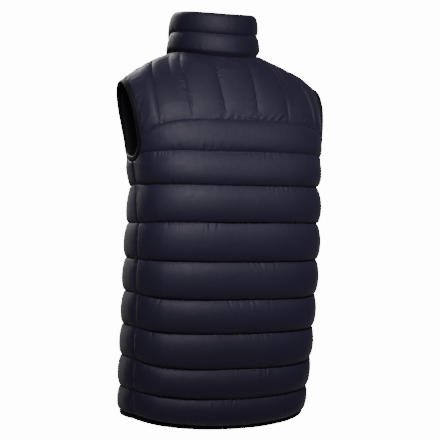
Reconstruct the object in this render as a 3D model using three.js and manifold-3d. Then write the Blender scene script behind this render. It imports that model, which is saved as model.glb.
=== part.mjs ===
// A quilted, padded gilet, zipped up and filled out as it is when worn.
// Millimetres, +Z up. The front faces -Y and the wearer's left is +X.
// The origin lies midway between the shoulders, level with the middle of the shoulder seams.
import * as THREE from 'three';
import Module from 'manifold-3d';
import { mergeVertices } from 'three/addons/utils/BufferGeometryUtils.js';

// Cloth and seams
const WALL = 3;
const SEAM_GAP = 0.5;
const CELL = 4;
const CELL_SWELL = [0, 0.8, 1, 0.74];

// How far the filling lifts the outer cloth, and the distance over which a seam holds it down
const BACK_PUFF = { height: 12, held: 90 };
const FRONT_PUFF = { height: 6.5, held: 50 };
const YOKE_PUFF = { height: 8, held: 50 };
const COLLAR_PUFF = { height: 5, held: 16 };

// The torso's level sections: side is the depth of the widest line, 2 is an ellipse, more is squarer
const SECTIONS = [
  { z: -664, halfWidth: 166, side: -1, back: 82, front: -117, backSquare: 2.4, frontSquare: 2.5 },
  { z: -560, halfWidth: 170, side: 15, back: 106, front: -111, backSquare: 2.5, frontSquare: 2.4 },
  { z: -430, halfWidth: 170, side: 31, back: 127, front: -104, backSquare: 2.7, frontSquare: 2.3 },
  { z: -310, halfWidth: 169, side: 38, back: 140, front: -98, backSquare: 2.9, frontSquare: 2.2 },
  { z: -215, halfWidth: 166, side: 42, back: 143, front: -93, backSquare: 3.0, frontSquare: 2.1 },
  { z: -138, halfWidth: 180, side: 43, back: 133, front: -88, backSquare: 2.8, frontSquare: 2.2 },
  { z: -60, halfWidth: 192, side: 32, back: 112, front: -80, backSquare: 2.6, frontSquare: 2.2 },
];
const OUTLINE_STEPS = 240;

// The level quilting seams from the hem up: heights at the centre back and at the side, where the fronts
// keep them, and how late the back ones bend between the two
const LEVELS = [
  { centre: -641, side: -622, bend: 2.2 },
  { centre: -592, side: -577, bend: 2.6 },
  { centre: -539, side: -521, bend: 4 },
  { centre: -476, side: -465, bend: 5 },
  { centre: -417, side: -406, bend: 5 },
  { centre: -351, side: -347, bend: 5 },
  { centre: -283, side: -285, bend: 5 },
  { centre: -219, side: -222, bend: 5 },
  { centre: -161, side: -164, bend: 5 },
];

// Where the yokes begin: their lowest edge bends down towards the armholes
const BACK_YOKE = -104;
const FRONT_YOKE = -112;
const BEND_POWER = 5;

// Armhole, measured round the torso from the line of its lowest point
const ARMHOLE = { top: -138, bottom: -177, offset: -5, backReach: 39, frontReach: 66, levelTurn: 50 };
const SIDE_SEAM = { offset: -30, easeFrom: -320 };

// Upright quilting seams of the yokes, as distances from the centre at the seam below and above
const BACK_LINES = [
  { below: 30.5, above: 30.5 },
  { below: 91.5, above: 91.5 },
  { below: 152.5, above: 163 },
];
const FRONT_LINES = [
  { below: 55, above: 60 },
  { below: 108, above: 132 },
];
const YOKE_ROWS = 10;

// Neck and shoulders
const NECK = { halfWidth: 80, centre: -12, back: 76, front: -76, neckPoint: 85, seamRise: 0.55 };
const NECKLINE = { back: 11, side: 23, front: -37, fall: 1.5 };
const SHOULDER = { x: 183, y: 17, z: -33, arch: 5 };
const PATH_STEPS = 48;

// Collar
const COLLAR = {
  halfWidth: 74,
  back: 70,
  front: -70,
  backHeight: 79,
  sideHeight: 74,
  frontHeight: 71,
  lift: 0.5,
};
const COLLAR_COLUMNS = 40;
const COLLAR_ROWS = 8;

// Zip: half of the opening between the fronts, and the pieces in it
const ZIP_HALF = 6;
const TAPE = { gap: 0.2, thickness: 1.4 };
const SLIDER = { width: 9, height: 13, depth: 4, corner: 2.5, below: 9 };
const CROWN = {
  width: 2.2,
  height: 9.2,
  depth: 4.8,
  corner: 0.9,
  root: 1,
  window: 3,
  windowHeight: 5.6,
  windowCorner: 0.6,
};
const TAB = {
  width: 7.4,
  length: 30,
  thickness: 1.3,
  corner: 1.6,
  bar: 1.3,
  eye: 3.6,
  eyeLength: 6.8,
  eyeCorner: 0.8,
};
const BOX = { width: 9, height: 11, depth: 3.2, corner: 1, above: 1 };

// Bindings, as the width and thickness of the folded strip
const ARM_BINDING = { width: 8.5, thickness: 4.4 };
const HEM_BINDING = { width: 8, thickness: 4.6 };

const lerp = THREE.MathUtils.lerp;
const smoothstep = THREE.MathUtils.smoothstep;

const shell = new THREE.MeshStandardMaterial({ color: 0x23222f, roughness: 0.45, metalness: 0 });
const trim = new THREE.MeshStandardMaterial({ color: 0x17171d, roughness: 0.75, metalness: 0 });
const metal = new THREE.MeshStandardMaterial({ color: 0x1b1b20, roughness: 0.35, metalness: 0.8 });
const gilet = new THREE.Group();

// A value of the sections' table at a height, as a smooth curve through its rows
function sectionValue(key, z) {
  let i = 0;
  while (i < SECTIONS.length - 2 && z > SECTIONS[i + 1].z) i += 1;
  const slope = (k) => {
    const low = SECTIONS[Math.max(k - 1, 0)];
    const high = SECTIONS[Math.min(k + 1, SECTIONS.length - 1)];
    return (high[key] - low[key]) / (high.z - low.z);
  };
  const from = SECTIONS[i];
  const to = SECTIONS[i + 1];
  const span = to.z - from.z;
  const t = (z - from.z) / span;
  return hermite(from[key], slope(i) * span, to[key], slope(i + 1) * span, t);
}

function hermite(from, leave, to, arrive, t) {
  const t2 = t * t;
  const t3 = t2 * t;
  const ends = (2 * t3 - 3 * t2 + 1) * from + (3 * t2 - 2 * t3) * to;
  return ends + (t3 - 2 * t2 + t) * leave + (t3 - t2) * arrive;
}

// A path of points with the distance along it
function measured(points) {
  const lengths = [0];
  for (let i = 1; i < points.length; i += 1) {
    lengths.push(lengths[i - 1] + points[i].distanceTo(points[i - 1]));
  }
  return { points, lengths, total: lengths[lengths.length - 1] };
}

function along(path, distance) {
  const { points, lengths } = path;
  let low = 0;
  let high = points.length - 1;
  while (high - low > 1) {
    const middle = (low + high) >> 1;
    if (lengths[middle] > distance) high = middle;
    else low = middle;
  }
  const t = (distance - lengths[low]) / (lengths[high] - lengths[low]);
  return points[low].clone().lerp(points[high], t);
}

// Half of the torso's outline at a height, from the centre back to the centre front
const outlines = new Map();
function outline(z) {
  if (!outlines.has(z)) {
    const [halfWidth, side, back, front, backSquare, frontSquare] = [
      'halfWidth', 'side', 'back', 'front', 'backSquare', 'frontSquare',
    ].map((key) => sectionValue(key, z));
    const points = [];
    for (let i = 0; i <= OUTLINE_STEPS; i += 1) {
      const angle = (Math.PI * i) / OUTLINE_STEPS;
      const behind = i <= OUTLINE_STEPS / 2;
      const power = 2 / (behind ? backSquare : frontSquare);
      const reach = (behind ? back : front) - side;
      const x = halfWidth * Math.sin(angle) ** power;
      const y = side + reach * Math.abs(Math.cos(angle)) ** power;
      points.push(new THREE.Vector3(x, y, z));
    }
    const path = measured(points);
    path.widest = path.lengths[OUTLINE_STEPS / 2];
    outlines.set(z, path);
  }
  return outlines.get(z);
}

// The torso's surface: around is the distance from the centre back, positive on the wearer's left
function torso(around, z) {
  const point = along(outline(z), Math.abs(around));
  if (around < 0) point.x = -point.x;
  return point;
}

// Rows of the body panels: the height at the centre, and the height and place of the row's outer end
const BODY_ROWS = LEVELS.length * CELL;
const UNDERARM_ROW = BODY_ROWS - CELL - CELL / 2;
const TOP_LEVEL_ROW = BODY_ROWS - CELL;

function rowLevel(row, yoke, key) {
  const cell = Math.min(Math.floor(row / CELL), LEVELS.length - 1);
  const above = cell + 1 < LEVELS.length ? LEVELS[cell + 1][key] : yoke;
  return lerp(LEVELS[cell][key], above, row / CELL - cell);
}

function rowEnd(row, yoke, reach) {
  if (row <= UNDERARM_ROW) {
    const level = rowLevel(row, yoke, 'side');
    const rise = Math.max(0, row - (UNDERARM_ROW - CELL)) / CELL;
    const z = lerp(level, ARMHOLE.bottom, rise ** 3);
    const ease = smoothstep(z, SIDE_SEAM.easeFrom, ARMHOLE.bottom);
    return { z, around: outline(z).widest + lerp(SIDE_SEAM.offset, ARMHOLE.offset, ease) };
  }
  const turn = row <= TOP_LEVEL_ROW
    ? (ARMHOLE.levelTurn * (row - UNDERARM_ROW)) / (TOP_LEVEL_ROW - UNDERARM_ROW)
    : lerp(ARMHOLE.levelTurn, 90, (row - TOP_LEVEL_ROW) / CELL);
  const angle = THREE.MathUtils.degToRad(turn);
  const z = ARMHOLE.top + (ARMHOLE.bottom - ARMHOLE.top) * Math.cos(angle);
  return { z, around: outline(z).widest + ARMHOLE.offset + reach * Math.sin(angle) };
}

// Distances from the centre of a panel's column, between its quilting lines and its outer end
function columnPlace(column, stops) {
  const cell = Math.min(Math.floor(column / CELL), stops.length - 2);
  return lerp(stops[cell], stops[cell + 1], column / CELL - cell);
}

const backEnd = (row) => rowEnd(row, BACK_YOKE, -ARMHOLE.backReach);
const frontEnd = (row) => rowEnd(row, FRONT_YOKE, ARMHOLE.frontReach);

// Back body: columns run from the wearer's right to the left
const BACK_CELLS = 2 * BACK_LINES.length + 1;
const BACK_COLUMNS = BACK_CELLS * CELL;
function backStops(key, end) {
  const lines = BACK_LINES.map((line) => line[key]);
  return [-end, ...lines.map((x) => -x).reverse(), ...lines, end];
}

function backPoint(column, row) {
  const end = backEnd(row);
  const around = columnPlace(column, backStops('below', end.around));
  const bend = Math.abs(around / end.around) ** rowLevel(row, BEND_POWER, 'bend');
  return torso(around, lerp(rowLevel(row, BACK_YOKE, 'centre'), end.z, bend));
}

// Front body: columns run from the zip to the side, and side is 1 on the wearer's left
const FRONT_CELLS = FRONT_LINES.length + 1;
const FRONT_COLUMNS = FRONT_CELLS * CELL;
function frontStops(key, end) {
  return [ZIP_HALF, ...FRONT_LINES.map((line) => line[key]), end];
}

function frontPoint(column, row, side) {
  const end = frontEnd(row);
  const endReach = outline(end.z).total - end.around;
  const reach = columnPlace(column, frontStops('below', endReach));
  const bend = (reach / endReach) ** rowLevel(row, BEND_POWER, 'bend');
  const z = lerp(rowLevel(row, FRONT_YOKE, 'side'), end.z, bend);
  return torso(side * (outline(z).total - reach), z);
}

// Neckline by angle from the centre back, and the shoulder seam from the neck point to the tip
function necklineHeight(angle) {
  const cos = Math.cos(angle);
  if (cos > 0) return lerp(NECKLINE.side, NECKLINE.back, cos * cos);
  return lerp(NECKLINE.side, NECKLINE.front, (-cos) ** NECKLINE.fall);
}

function ring(angle, sizes, z) {
  const reach = Math.cos(angle) > 0 ? sizes.back : -sizes.front;
  const y = NECK.centre + reach * Math.cos(angle);
  return new THREE.Vector3(sizes.halfWidth * Math.sin(angle), y, z);
}

const neckline = (angle) => ring(angle, NECK, necklineHeight(angle));

// The direction in which the collar's seam runs through the cloth, halfway between both of its walls
function neckSeamNormal(point) {
  const outward = new THREE.Vector3(point.x, point.y - NECK.centre, 0).normalize();
  outward.z = NECK.seamRise;
  return outward.normalize();
}
const NECK_POINT = THREE.MathUtils.degToRad(NECK.neckPoint);

function shoulderSeam(t) {
  const tip = new THREE.Vector3(SHOULDER.x, SHOULDER.y, SHOULDER.z);
  const point = neckline(NECK_POINT).lerp(tip, t);
  point.z += 4 * SHOULDER.arch * t * (1 - t);
  return point;
}

function topPath(startAngle) {
  const points = [];
  for (let i = 0; i <= PATH_STEPS; i += 1) {
    points.push(neckline(lerp(startAngle, NECK_POINT, i / PATH_STEPS)));
  }
  for (let i = 1; i <= PATH_STEPS; i += 1) points.push(shoulderSeam(i / PATH_STEPS));
  const path = measured(points);
  path.neck = path.lengths[PATH_STEPS];
  return path;
}

const backTop = topPath(0);
const frontTop = topPath(Math.PI);

// Places of the yoke's columns along its upper edge, with one of them set on the corner at the neck point
function topPlaces(stops, columns, path) {
  const places = [];
  for (let column = 0; column <= columns; column += 1) places.push(columnPlace(column, stops));
  const miss = (place) => Math.abs(Math.abs(place) - path.neck);
  const nearest = Math.min(...places.map(miss));
  return places.map((place) => (miss(place) < nearest + 0.01 ? Math.sign(place) * path.neck : place));
}

function placeAt(column, places) {
  const from = Math.min(Math.floor(column), places.length - 2);
  return lerp(places[from], places[from + 1], column - from);
}

const backTopPlaces = topPlaces(backStops('above', backTop.total), BACK_COLUMNS, backTop);
const frontTopPlaces = topPlaces(frontStops('above', frontTop.total), FRONT_COLUMNS, frontTop);

// A yoke's column rises from the body's top row, in line with it, and lies down over the shoulder
const RISE_STEP = 2;
const NECK_TURN = THREE.MathUtils.degToRad(45);
const NECK_ARRIVAL = { level: 0.62, rise: 0.78 };
const SHOULDER_ARRIVAL = { level: 1, rise: 0.06 };
const SHOULDER_SLOPE = 0.5;
function yokePoint(below, aboveDistance, path, forward, part) {
  const ahead = torso(below.around, below.z + RISE_STEP).sub(torso(below.around, below.z - RISE_STEP));
  const from = torso(below.around, below.z);
  const to = along(path, aboveDistance);
  if (below.around < 0) to.x = -to.x;
  const nearNeck = smoothstep(1 - aboveDistance / path.neck, 0, 1);
  const level = lerp(SHOULDER_ARRIVAL.level, NECK_ARRIVAL.level, nearNeck);
  const rise = lerp(SHOULDER_ARRIVAL.rise, NECK_ARRIVAL.rise, nearNeck);
  const beyondNeck = 1 - smoothstep(aboveDistance, path.neck, path.total);
  const turn = NECK_TURN * Math.min(aboveDistance / path.neck, beyondNeck);
  const inwards = -Math.sign(below.around) * Math.sin(turn);
  const arrive = new THREE.Vector3(level * inwards, level * forward * Math.cos(turn), rise);
  arrive.z += SHOULDER_SLOPE * Math.sin(turn);
  const length = from.distanceTo(to);
  ahead.setLength(length * 0.9);
  arrive.setLength(length * 1.1);
  return new THREE.Vector3(
    hermite(from.x, ahead.x, to.x, arrive.x, part),
    hermite(from.y, ahead.y, to.y, arrive.y, part),
    hermite(from.z, ahead.z, to.z, arrive.z, part),
  );
}

function backYokePoint(column, row) {
  const end = backEnd(BODY_ROWS);
  const around = columnPlace(column, backStops('below', end.around));
  const z = lerp(BACK_YOKE, end.z, Math.abs(around / end.around) ** BEND_POWER);
  const above = Math.abs(placeAt(column, backTopPlaces));
  return yokePoint({ around, z }, above, backTop, -1, row / YOKE_ROWS);
}

function frontYokePoint(column, row, side) {
  const end = frontEnd(BODY_ROWS);
  const endReach = outline(end.z).total - end.around;
  const reach = columnPlace(column, frontStops('below', endReach));
  const z = lerp(FRONT_YOKE, end.z, (reach / endReach) ** BEND_POWER);
  const above = placeAt(column, frontTopPlaces);
  const around = side * (outline(z).total - reach);
  return yokePoint({ around, z }, above, frontTop, 1, row / YOKE_ROWS);
}

// Collar: columns run round the neck from the zip on the wearer's right to the zip on the left
const COLLAR_END = Math.PI - Math.asin(ZIP_HALF / COLLAR.halfWidth);
function collarPoint(column, row) {
  const angle = lerp(-COLLAR_END, COLLAR_END, column / COLLAR_COLUMNS);
  const cos = Math.cos(angle);
  const height = lerp(COLLAR.sideHeight, cos > 0 ? COLLAR.backHeight : COLLAR.frontHeight, cos * cos);
  const from = neckline(angle);
  from.z += COLLAR.lift;
  return from.lerp(ring(angle, COLLAR, from.z + height), row / COLLAR_ROWS);
}

// How far the filling lifts the cloth at a place in a cell, less near the panel's edges
function lifted(puff, place, distances) {
  const cell = place - Math.floor(place);
  const swell = CELL_SWELL[Math.round(cell * CELL) % CELL];
  const held = distances.map((distance) => Math.min(1, 0.12 + distance / puff.held) ** 0.8);
  return puff.height * swell * Math.min(...held);
}

const EDGE_STEP = 0.02;
function normalAt(point, i, j, columns, rows) {
  const acrossAt = (step) => point(THREE.MathUtils.clamp(i + step, 0, columns), j);
  const upAt = (step) => point(i, THREE.MathUtils.clamp(j + step, 0, rows));
  const across = acrossAt(EDGE_STEP).sub(acrossAt(-EDGE_STEP));
  const up = upAt(EDGE_STEP).sub(upAt(-EDGE_STEP));
  return across.cross(up).normalize();
}

// A closed wall, quilted outside and plain inside, where every second column is enough
function quiltedWall(name, { point, columns, rows, swell, flip, seamNormal }) {
  const trimmed = (i, j) => {
    const nudge = (value, count, next) => {
      if (value > 0 && value < count) return value;
      const inward = value === 0 ? 1 : -1;
      return value + (inward * SEAM_GAP) / 2 / point(i, j).distanceTo(next(inward));
    };
    const column = nudge(i, columns, (step) => point(i + step, j));
    const row = nudge(j, rows, (step) => point(i, j + step));
    return [column, row];
  };
  const positions = [];
  const place = (i, j, height) => {
    const [column, row] = trimmed(i, j);
    const ownNormal = normalAt(point, column, row, columns, rows).multiplyScalar(flip ? -1 : 1);
    const normal = seamNormal?.(i, j) ?? ownNormal;
    positions.push(...point(column, row).addScaledVector(normal, height).toArray());
    return positions.length / 3 - 1;
  };
  const outer = [];
  const inner = [];
  for (let j = 0; j <= rows; j += 1) {
    outer.push([]);
    for (let i = 0; i <= columns; i += 1) outer[j].push(place(i, j, WALL + swell(i, j)));
  }
  for (let j = 0; j <= rows; j += 1) {
    inner.push([]);
    for (let i = 0; i <= columns; i += 2) inner[j].push(place(i, j, 0));
  }
  const faces = [...gridFaces(outer, false), ...gridFaces(inner, true), ...rimFaces(rim(outer), rim(inner))];
  addMesh(name, shell, closed(positions, faces));
}

function gridFaces(grid, reversed) {
  const faces = [];
  for (let j = 0; j + 1 < grid.length; j += 1) {
    for (let i = 0; i + 1 < grid[j].length; i += 1) {
      const [a, b, c, d] = [grid[j][i], grid[j][i + 1], grid[j + 1][i + 1], grid[j + 1][i]];
      faces.push(...(reversed ? [a, c, b, a, d, c] : [a, b, c, a, c, d]));
    }
  }
  return faces;
}

// A grid's four edges, in order round it
function rim(grid) {
  const bottom = grid[0];
  const right = grid.map((row) => row[row.length - 1]);
  const top = [...grid[grid.length - 1]].reverse();
  const left = grid.map((row) => row[0]).reverse();
  return [bottom, right, top, left];
}

// Joins the outer rim to the inner one, which has as many points or half as many on each edge
function rimFaces(outerRim, innerRim) {
  const faces = [];
  outerRim.forEach((fine, edge) => {
    const coarse = innerRim[edge];
    const ratio = (fine.length - 1) / (coarse.length - 1);
    for (let k = 0; k + 1 < coarse.length; k += 1) {
      const [first, next] = [fine[ratio * k], fine[ratio * k + 1]];
      faces.push(next, first, coarse[k], next, coarse[k], coarse[k + 1]);
      if (ratio === 2) faces.push(fine[2 * k + 2], next, coarse[k + 1]);
    }
  });
  return faces;
}

// A closed geometry whose faces point out
function closed(positions, faces) {
  let volume = 0;
  const corner = (k) => new THREE.Vector3().fromArray(positions, 3 * faces[k]);
  for (let k = 0; k < faces.length; k += 3) volume += corner(k).dot(corner(k + 1).cross(corner(k + 2)));
  if (volume < 0) faces.reverse();
  const geometry = new THREE.BufferGeometry();
  geometry.setAttribute('position', new THREE.Float32BufferAttribute(positions, 3));
  geometry.setIndex(faces);
  geometry.computeVertexNormals();
  return geometry;
}

function addMesh(name, material, geometry) {
  const mesh = new THREE.Mesh(geometry, material);
  mesh.name = name;
  gilet.add(mesh);
  return mesh;
}

// A strip swept along frames of a point, the wall's outward normal and the direction across the strip
function sweptStrip(name, material, frames, section, ringShaped) {
  const positions = [];
  const grid = frames.map(({ point, normal, across }) => section.map(([side, out]) => {
    positions.push(...point.clone().addScaledVector(across, side).addScaledVector(normal, out).toArray());
    return positions.length / 3 - 1;
  }));
  const faces = [];
  const spans = ringShaped ? frames.length : frames.length - 1;
  for (let j = 0; j < spans; j += 1) {
    const next = (j + 1) % frames.length;
    for (let i = 0; i < section.length; i += 1) {
      const k = (i + 1) % section.length;
      faces.push(grid[j][i], grid[j][k], grid[next][k], grid[j][i], grid[next][k], grid[next][i]);
    }
  }
  if (!ringShaped) {
    for (let i = 1; i + 1 < section.length; i += 1) {
      const last = grid[frames.length - 1];
      faces.push(grid[0][0], grid[0][i + 1], grid[0][i], last[0], last[i], last[i + 1]);
    }
  }
  addMesh(name, material, closed(positions, faces));
}

// The section of a folded binding: flat inside, rounded where it turns over the edge
function bindingSection({ width, thickness }) {
  const inside = (WALL - thickness) / 2;
  const outside = inside + thickness;
  const start = SEAM_GAP / 2;
  return [
    [start, inside], [start + width * 0.78, inside], [start + width, inside + thickness * 0.3],
    [start + width, inside + thickness * 0.7], [start + width * 0.78, outside], [start, outside],
  ];
}

// Panels, and how much each of their points is lifted
const cellOf = (index) => index / CELL;
function bodySwell(puff, point, columns, i, j) {
  const here = point(i, j);
  return lifted(puff, cellOf(j), [here.distanceTo(point(0, j)), here.distanceTo(point(columns, j))]);
}

function yokeSwell(point, columns, i, j) {
  const here = point(i, j);
  const edges = [point(i, 0), point(i, YOKE_ROWS), point(0, j), point(columns, j)];
  return lifted(YOKE_PUFF, cellOf(i), edges.map((edge) => here.distanceTo(edge)));
}

function collarSwell(i, j) {
  const here = collarPoint(i, j);
  return lifted(COLLAR_PUFF, cellOf(j), [collarPoint(0, j), collarPoint(COLLAR_COLUMNS, j)].map(
    (edge) => here.distanceTo(edge),
  ));
}

const alongNeck = (point, place, path) => (
  Math.abs(place) < path.neck + 0.01 ? neckSeamNormal(point) : undefined
);
const back = {
  point: backPoint,
  columns: BACK_COLUMNS,
  rows: BODY_ROWS,
  flip: true,
  swell: (i, j) => bodySwell(BACK_PUFF, backPoint, BACK_COLUMNS, i, j),
};
const backYoke = {
  point: backYokePoint,
  columns: BACK_COLUMNS,
  rows: YOKE_ROWS,
  flip: true,
  swell: (i, j) => yokeSwell(backYokePoint, BACK_COLUMNS, i, j),
  seamNormal: (i, j) => {
    if (j < YOKE_ROWS) return undefined;
    return alongNeck(backYokePoint(i, j), backTopPlaces[i], backTop);
  },
};
const collar = {
  point: collarPoint,
  columns: COLLAR_COLUMNS,
  rows: COLLAR_ROWS,
  flip: true,
  swell: collarSwell,
  seamNormal: (i, j) => (j === 0 ? neckSeamNormal(collarPoint(i, 0)) : undefined),
};

function frontPanels(side) {
  const lower = (i, j) => frontPoint(i, j, side);
  const upper = (i, j) => frontYokePoint(i, j, side);
  const shared = { columns: FRONT_COLUMNS, flip: side < 0 };
  return {
    body: {
      ...shared,
      point: lower,
      rows: BODY_ROWS,
      swell: (i, j) => bodySwell(FRONT_PUFF, lower, FRONT_COLUMNS, i, j),
    },
    yoke: {
      ...shared,
      point: upper,
      rows: YOKE_ROWS,
      swell: (i, j) => yokeSwell(upper, FRONT_COLUMNS, i, j),
      seamNormal: (i, j) => {
        if (j < YOKE_ROWS) return undefined;
        return alongNeck(upper(i, j), frontTopPlaces[i], frontTop);
      },
    },
  };
}

const sides = [
  { label: 'left', side: 1, backColumn: BACK_COLUMNS, collarColumn: COLLAR_COLUMNS, ...frontPanels(1) },
  { label: 'right', side: -1, backColumn: 0, collarColumn: 0, ...frontPanels(-1) },
];

quiltedWall('back', back);
quiltedWall('back_yoke', backYoke);
for (const { label, body, yoke } of sides) {
  quiltedWall(`front_${label}`, body);
  quiltedWall(`front_yoke_${label}`, yoke);
}
quiltedWall('collar', collar);

// Places of a panel's edge, each with the outward direction of the cloth there
function edgeOf({ point, columns, rows, flip }, places) {
  return places.map(([i, j]) => ({
    point: point(i, j),
    normal: normalAt(point, i, j, columns, rows).multiplyScalar(flip ? -1 : 1),
  }));
}

// Frames for a strip on an edge: across leads off the panel, to the side that the hand names
function edgeFrames(edge, ringShaped, hand) {
  return edge.map(({ point, normal }, k) => {
    const neighbour = (step) => {
      const index = k + step;
      if (ringShaped) return edge[(index + edge.length) % edge.length].point;
      return edge[THREE.MathUtils.clamp(index, 0, edge.length - 1)].point;
    };
    const along = neighbour(1).clone().sub(neighbour(-1)).normalize();
    const across = normal.clone().cross(along).normalize().multiplyScalar(hand);
    return { point, normal: normal.clone(), across };
  });
}

const range = (from, to) => Array.from({ length: to - from + 1 }, (_, k) => from + k);

// Armhole bindings, once round each armhole
for (const { label, side, backColumn, body, yoke } of sides) {
  const edge = [
    ...edgeOf(back, range(UNDERARM_ROW, BODY_ROWS).map((j) => [backColumn, j])),
    ...edgeOf(backYoke, range(1, YOKE_ROWS).map((j) => [backColumn, j])),
    ...edgeOf(yoke, range(0, YOKE_ROWS - 1).reverse().map((j) => [FRONT_COLUMNS, j])),
    ...edgeOf(body, range(UNDERARM_ROW + 1, BODY_ROWS - 1).reverse().map((j) => [FRONT_COLUMNS, j])),
  ];
  const section = bindingSection(ARM_BINDING);
  sweptStrip(`armhole_binding_${label}`, trim, edgeFrames(edge, true, side), section, true);
}

// Hem binding, from one side of the zip round the back to the other
const hemEdge = [
  ...edgeOf(sides[0].body, range(0, FRONT_COLUMNS - 1).map((i) => [i, 0])),
  ...edgeOf(back, range(0, BACK_COLUMNS).reverse().map((i) => [i, 0])),
  ...edgeOf(sides[1].body, range(0, FRONT_COLUMNS - 1).reverse().map((i) => [i, 0])),
];
sweptStrip('hem_binding', trim, edgeFrames(hemEdge, false, -1), bindingSection(HEM_BINDING), false);

// Zip tapes, up the fronts and the collar between the panels' edges
function zipFrames({ side, body, yoke, collarColumn }) {
  const edge = [
    ...edgeOf(body, range(0, BODY_ROWS).map((j) => [0, j])),
    ...edgeOf(yoke, range(1, YOKE_ROWS).map((j) => [0, j])),
    ...edgeOf(collar, range(1, COLLAR_ROWS).map((j) => [collarColumn, j])),
  ];
  return edge.map(({ point, normal }) => ({
    point: new THREE.Vector3(side * ZIP_HALF, point.y, point.z),
    normal: new THREE.Vector3(0, normal.y, normal.z).normalize(),
    across: new THREE.Vector3(-side, 0, 0),
  }));
}

const tapeInside = (WALL - TAPE.thickness) / 2;
const tapeSection = [
  [TAPE.gap + 0.2, tapeInside], [ZIP_HALF - TAPE.gap, tapeInside],
  [ZIP_HALF - TAPE.gap, tapeInside + TAPE.thickness], [TAPE.gap + 0.2, tapeInside + TAPE.thickness],
];
for (const part of sides) sweptStrip(`zip_tape_${part.label}`, trim, zipFrames(part), tapeSection, false);

// Rounded plate in the XZ plane, its thickness along Y, and with a hole if one is given
function plate(width, height, thickness, radius, hole) {
  const outline = roundedRectangle(new THREE.Shape(), width, height, radius, 0);
  if (hole) {
    const inner = roundedRectangle(new THREE.Path(), hole.width, hole.height, hole.radius, hole.z);
    outline.holes.push(inner);
  }
  const settings = { depth: thickness, bevelEnabled: false, curveSegments: 3 };
  const geometry = new THREE.ExtrudeGeometry(outline, settings);
  return geometry.rotateX(Math.PI / 2).translate(0, thickness / 2, 0);
}

function roundedRectangle(path, width, height, radius, z) {
  const [x, y] = [width / 2, height / 2];
  path.moveTo(-x + radius, z - y);
  path.absarc(x - radius, z - y + radius, radius, -Math.PI / 2, 0);
  path.absarc(x - radius, z + y - radius, radius, 0, Math.PI / 2);
  path.absarc(-x + radius, z + y - radius, radius, Math.PI / 2, Math.PI);
  path.absarc(-x + radius, z - y + radius, radius, Math.PI, 1.5 * Math.PI);
  return path;
}

const wasm = await Module();
wasm.setup();

function asSolid(geometry) {
  const bare = geometry.clone();
  bare.deleteAttribute('normal');
  bare.deleteAttribute('uv');
  const merged = mergeVertices(bare, 1e-4);
  return new wasm.Manifold(new wasm.Mesh({
    numProp: 3,
    vertProperties: new Float32Array(merged.attributes.position.array),
    triVerts: new Uint32Array(merged.index.array),
  }));
}

function asGeometry(solid) {
  const mesh = solid.getMesh();
  return closed([...mesh.vertProperties], [...mesh.triVerts]);
}

// Puts a piece on the centre front: its Z along the cloth from a low point to a high one, its -Y outwards
function onFront(geometry, low, high, distance) {
  const up = high.clone().sub(low).normalize();
  const lean = Math.atan2(up.y, up.z);
  const place = low.clone().addScaledVector(up, distance);
  return geometry.rotateX(-lean).translate(0, place.y, place.z);
}

// Slider with its crown, near the top of the collar; the pull's bar lies in the crown's window
const collarFoot = collarPoint(COLLAR_COLUMNS, 0);
const collarTop = collarPoint(COLLAR_COLUMNS, COLLAR_ROWS);
const sliderPlace = collarFoot.distanceTo(collarTop) - SLIDER.below - SLIDER.height / 2;
const tapeFace = tapeInside + TAPE.thickness + SEAM_GAP;
const sliderFace = tapeFace + SLIDER.depth;

const sliderPlate = plate(SLIDER.width, SLIDER.height, SLIDER.depth, SLIDER.corner);
sliderPlate.translate(0, -tapeFace - SLIDER.depth / 2, 0);
const crownReach = CROWN.root + CROWN.depth;
const windowReach = CROWN.root + CROWN.window;
const crownPlate = plate(crownReach, CROWN.height, CROWN.width, CROWN.corner);
const windowCut = plate(windowReach, CROWN.windowHeight, 2 * CROWN.width, CROWN.windowCorner);
windowCut.translate((windowReach - crownReach) / 2, 0, 0);
const arch = asGeometry(asSolid(crownPlate).subtract(asSolid(windowCut)));
arch.rotateZ(-Math.PI / 2).translate(0, CROWN.root - sliderFace - crownReach / 2, 0);
const slider = asGeometry(asSolid(sliderPlate).add(asSolid(arch)));
addMesh('zip_slider', metal, onFront(slider, collarFoot, collarTop, sliderPlace));

const eye = {
  width: TAB.eye,
  height: TAB.eyeLength,
  radius: TAB.eyeCorner,
  z: TAB.length / 2 - TAB.bar - TAB.eyeLength / 2,
};
const pull = plate(TAB.width, TAB.length, TAB.thickness, TAB.corner, eye);
pull.translate(0, -sliderFace - CROWN.window / 2, TAB.bar / 2 - TAB.length / 2);
addMesh('zip_pull', metal, onFront(pull, collarFoot, collarTop, sliderPlace));

// Retaining box at the foot of the zip
const boxPlate = plate(BOX.width, BOX.height, BOX.depth, BOX.corner);
boxPlate.translate(0, -tapeFace - BOX.depth / 2, 0);
const boxLow = sides[0].body.point(0, 0);
const boxHigh = sides[0].body.point(0, 1);
addMesh('zip_box', metal, onFront(boxPlate, boxLow, boxHigh, BOX.height / 2 + BOX.above));

export default gilet;
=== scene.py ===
"""Dresses a packed quilted gilet: padded panels, bindings, zip, stitching, camera and light.

Lengths in the pattern classes are millimetres, as they are on a maker's sheet. Meshes are in metres.
"""

import logging
import math
from collections.abc import Callable, Sequence
from dataclasses import dataclass, field
from enum import Enum

import bmesh
import bpy
import numpy as np
from mathutils import Matrix, Vector

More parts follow.
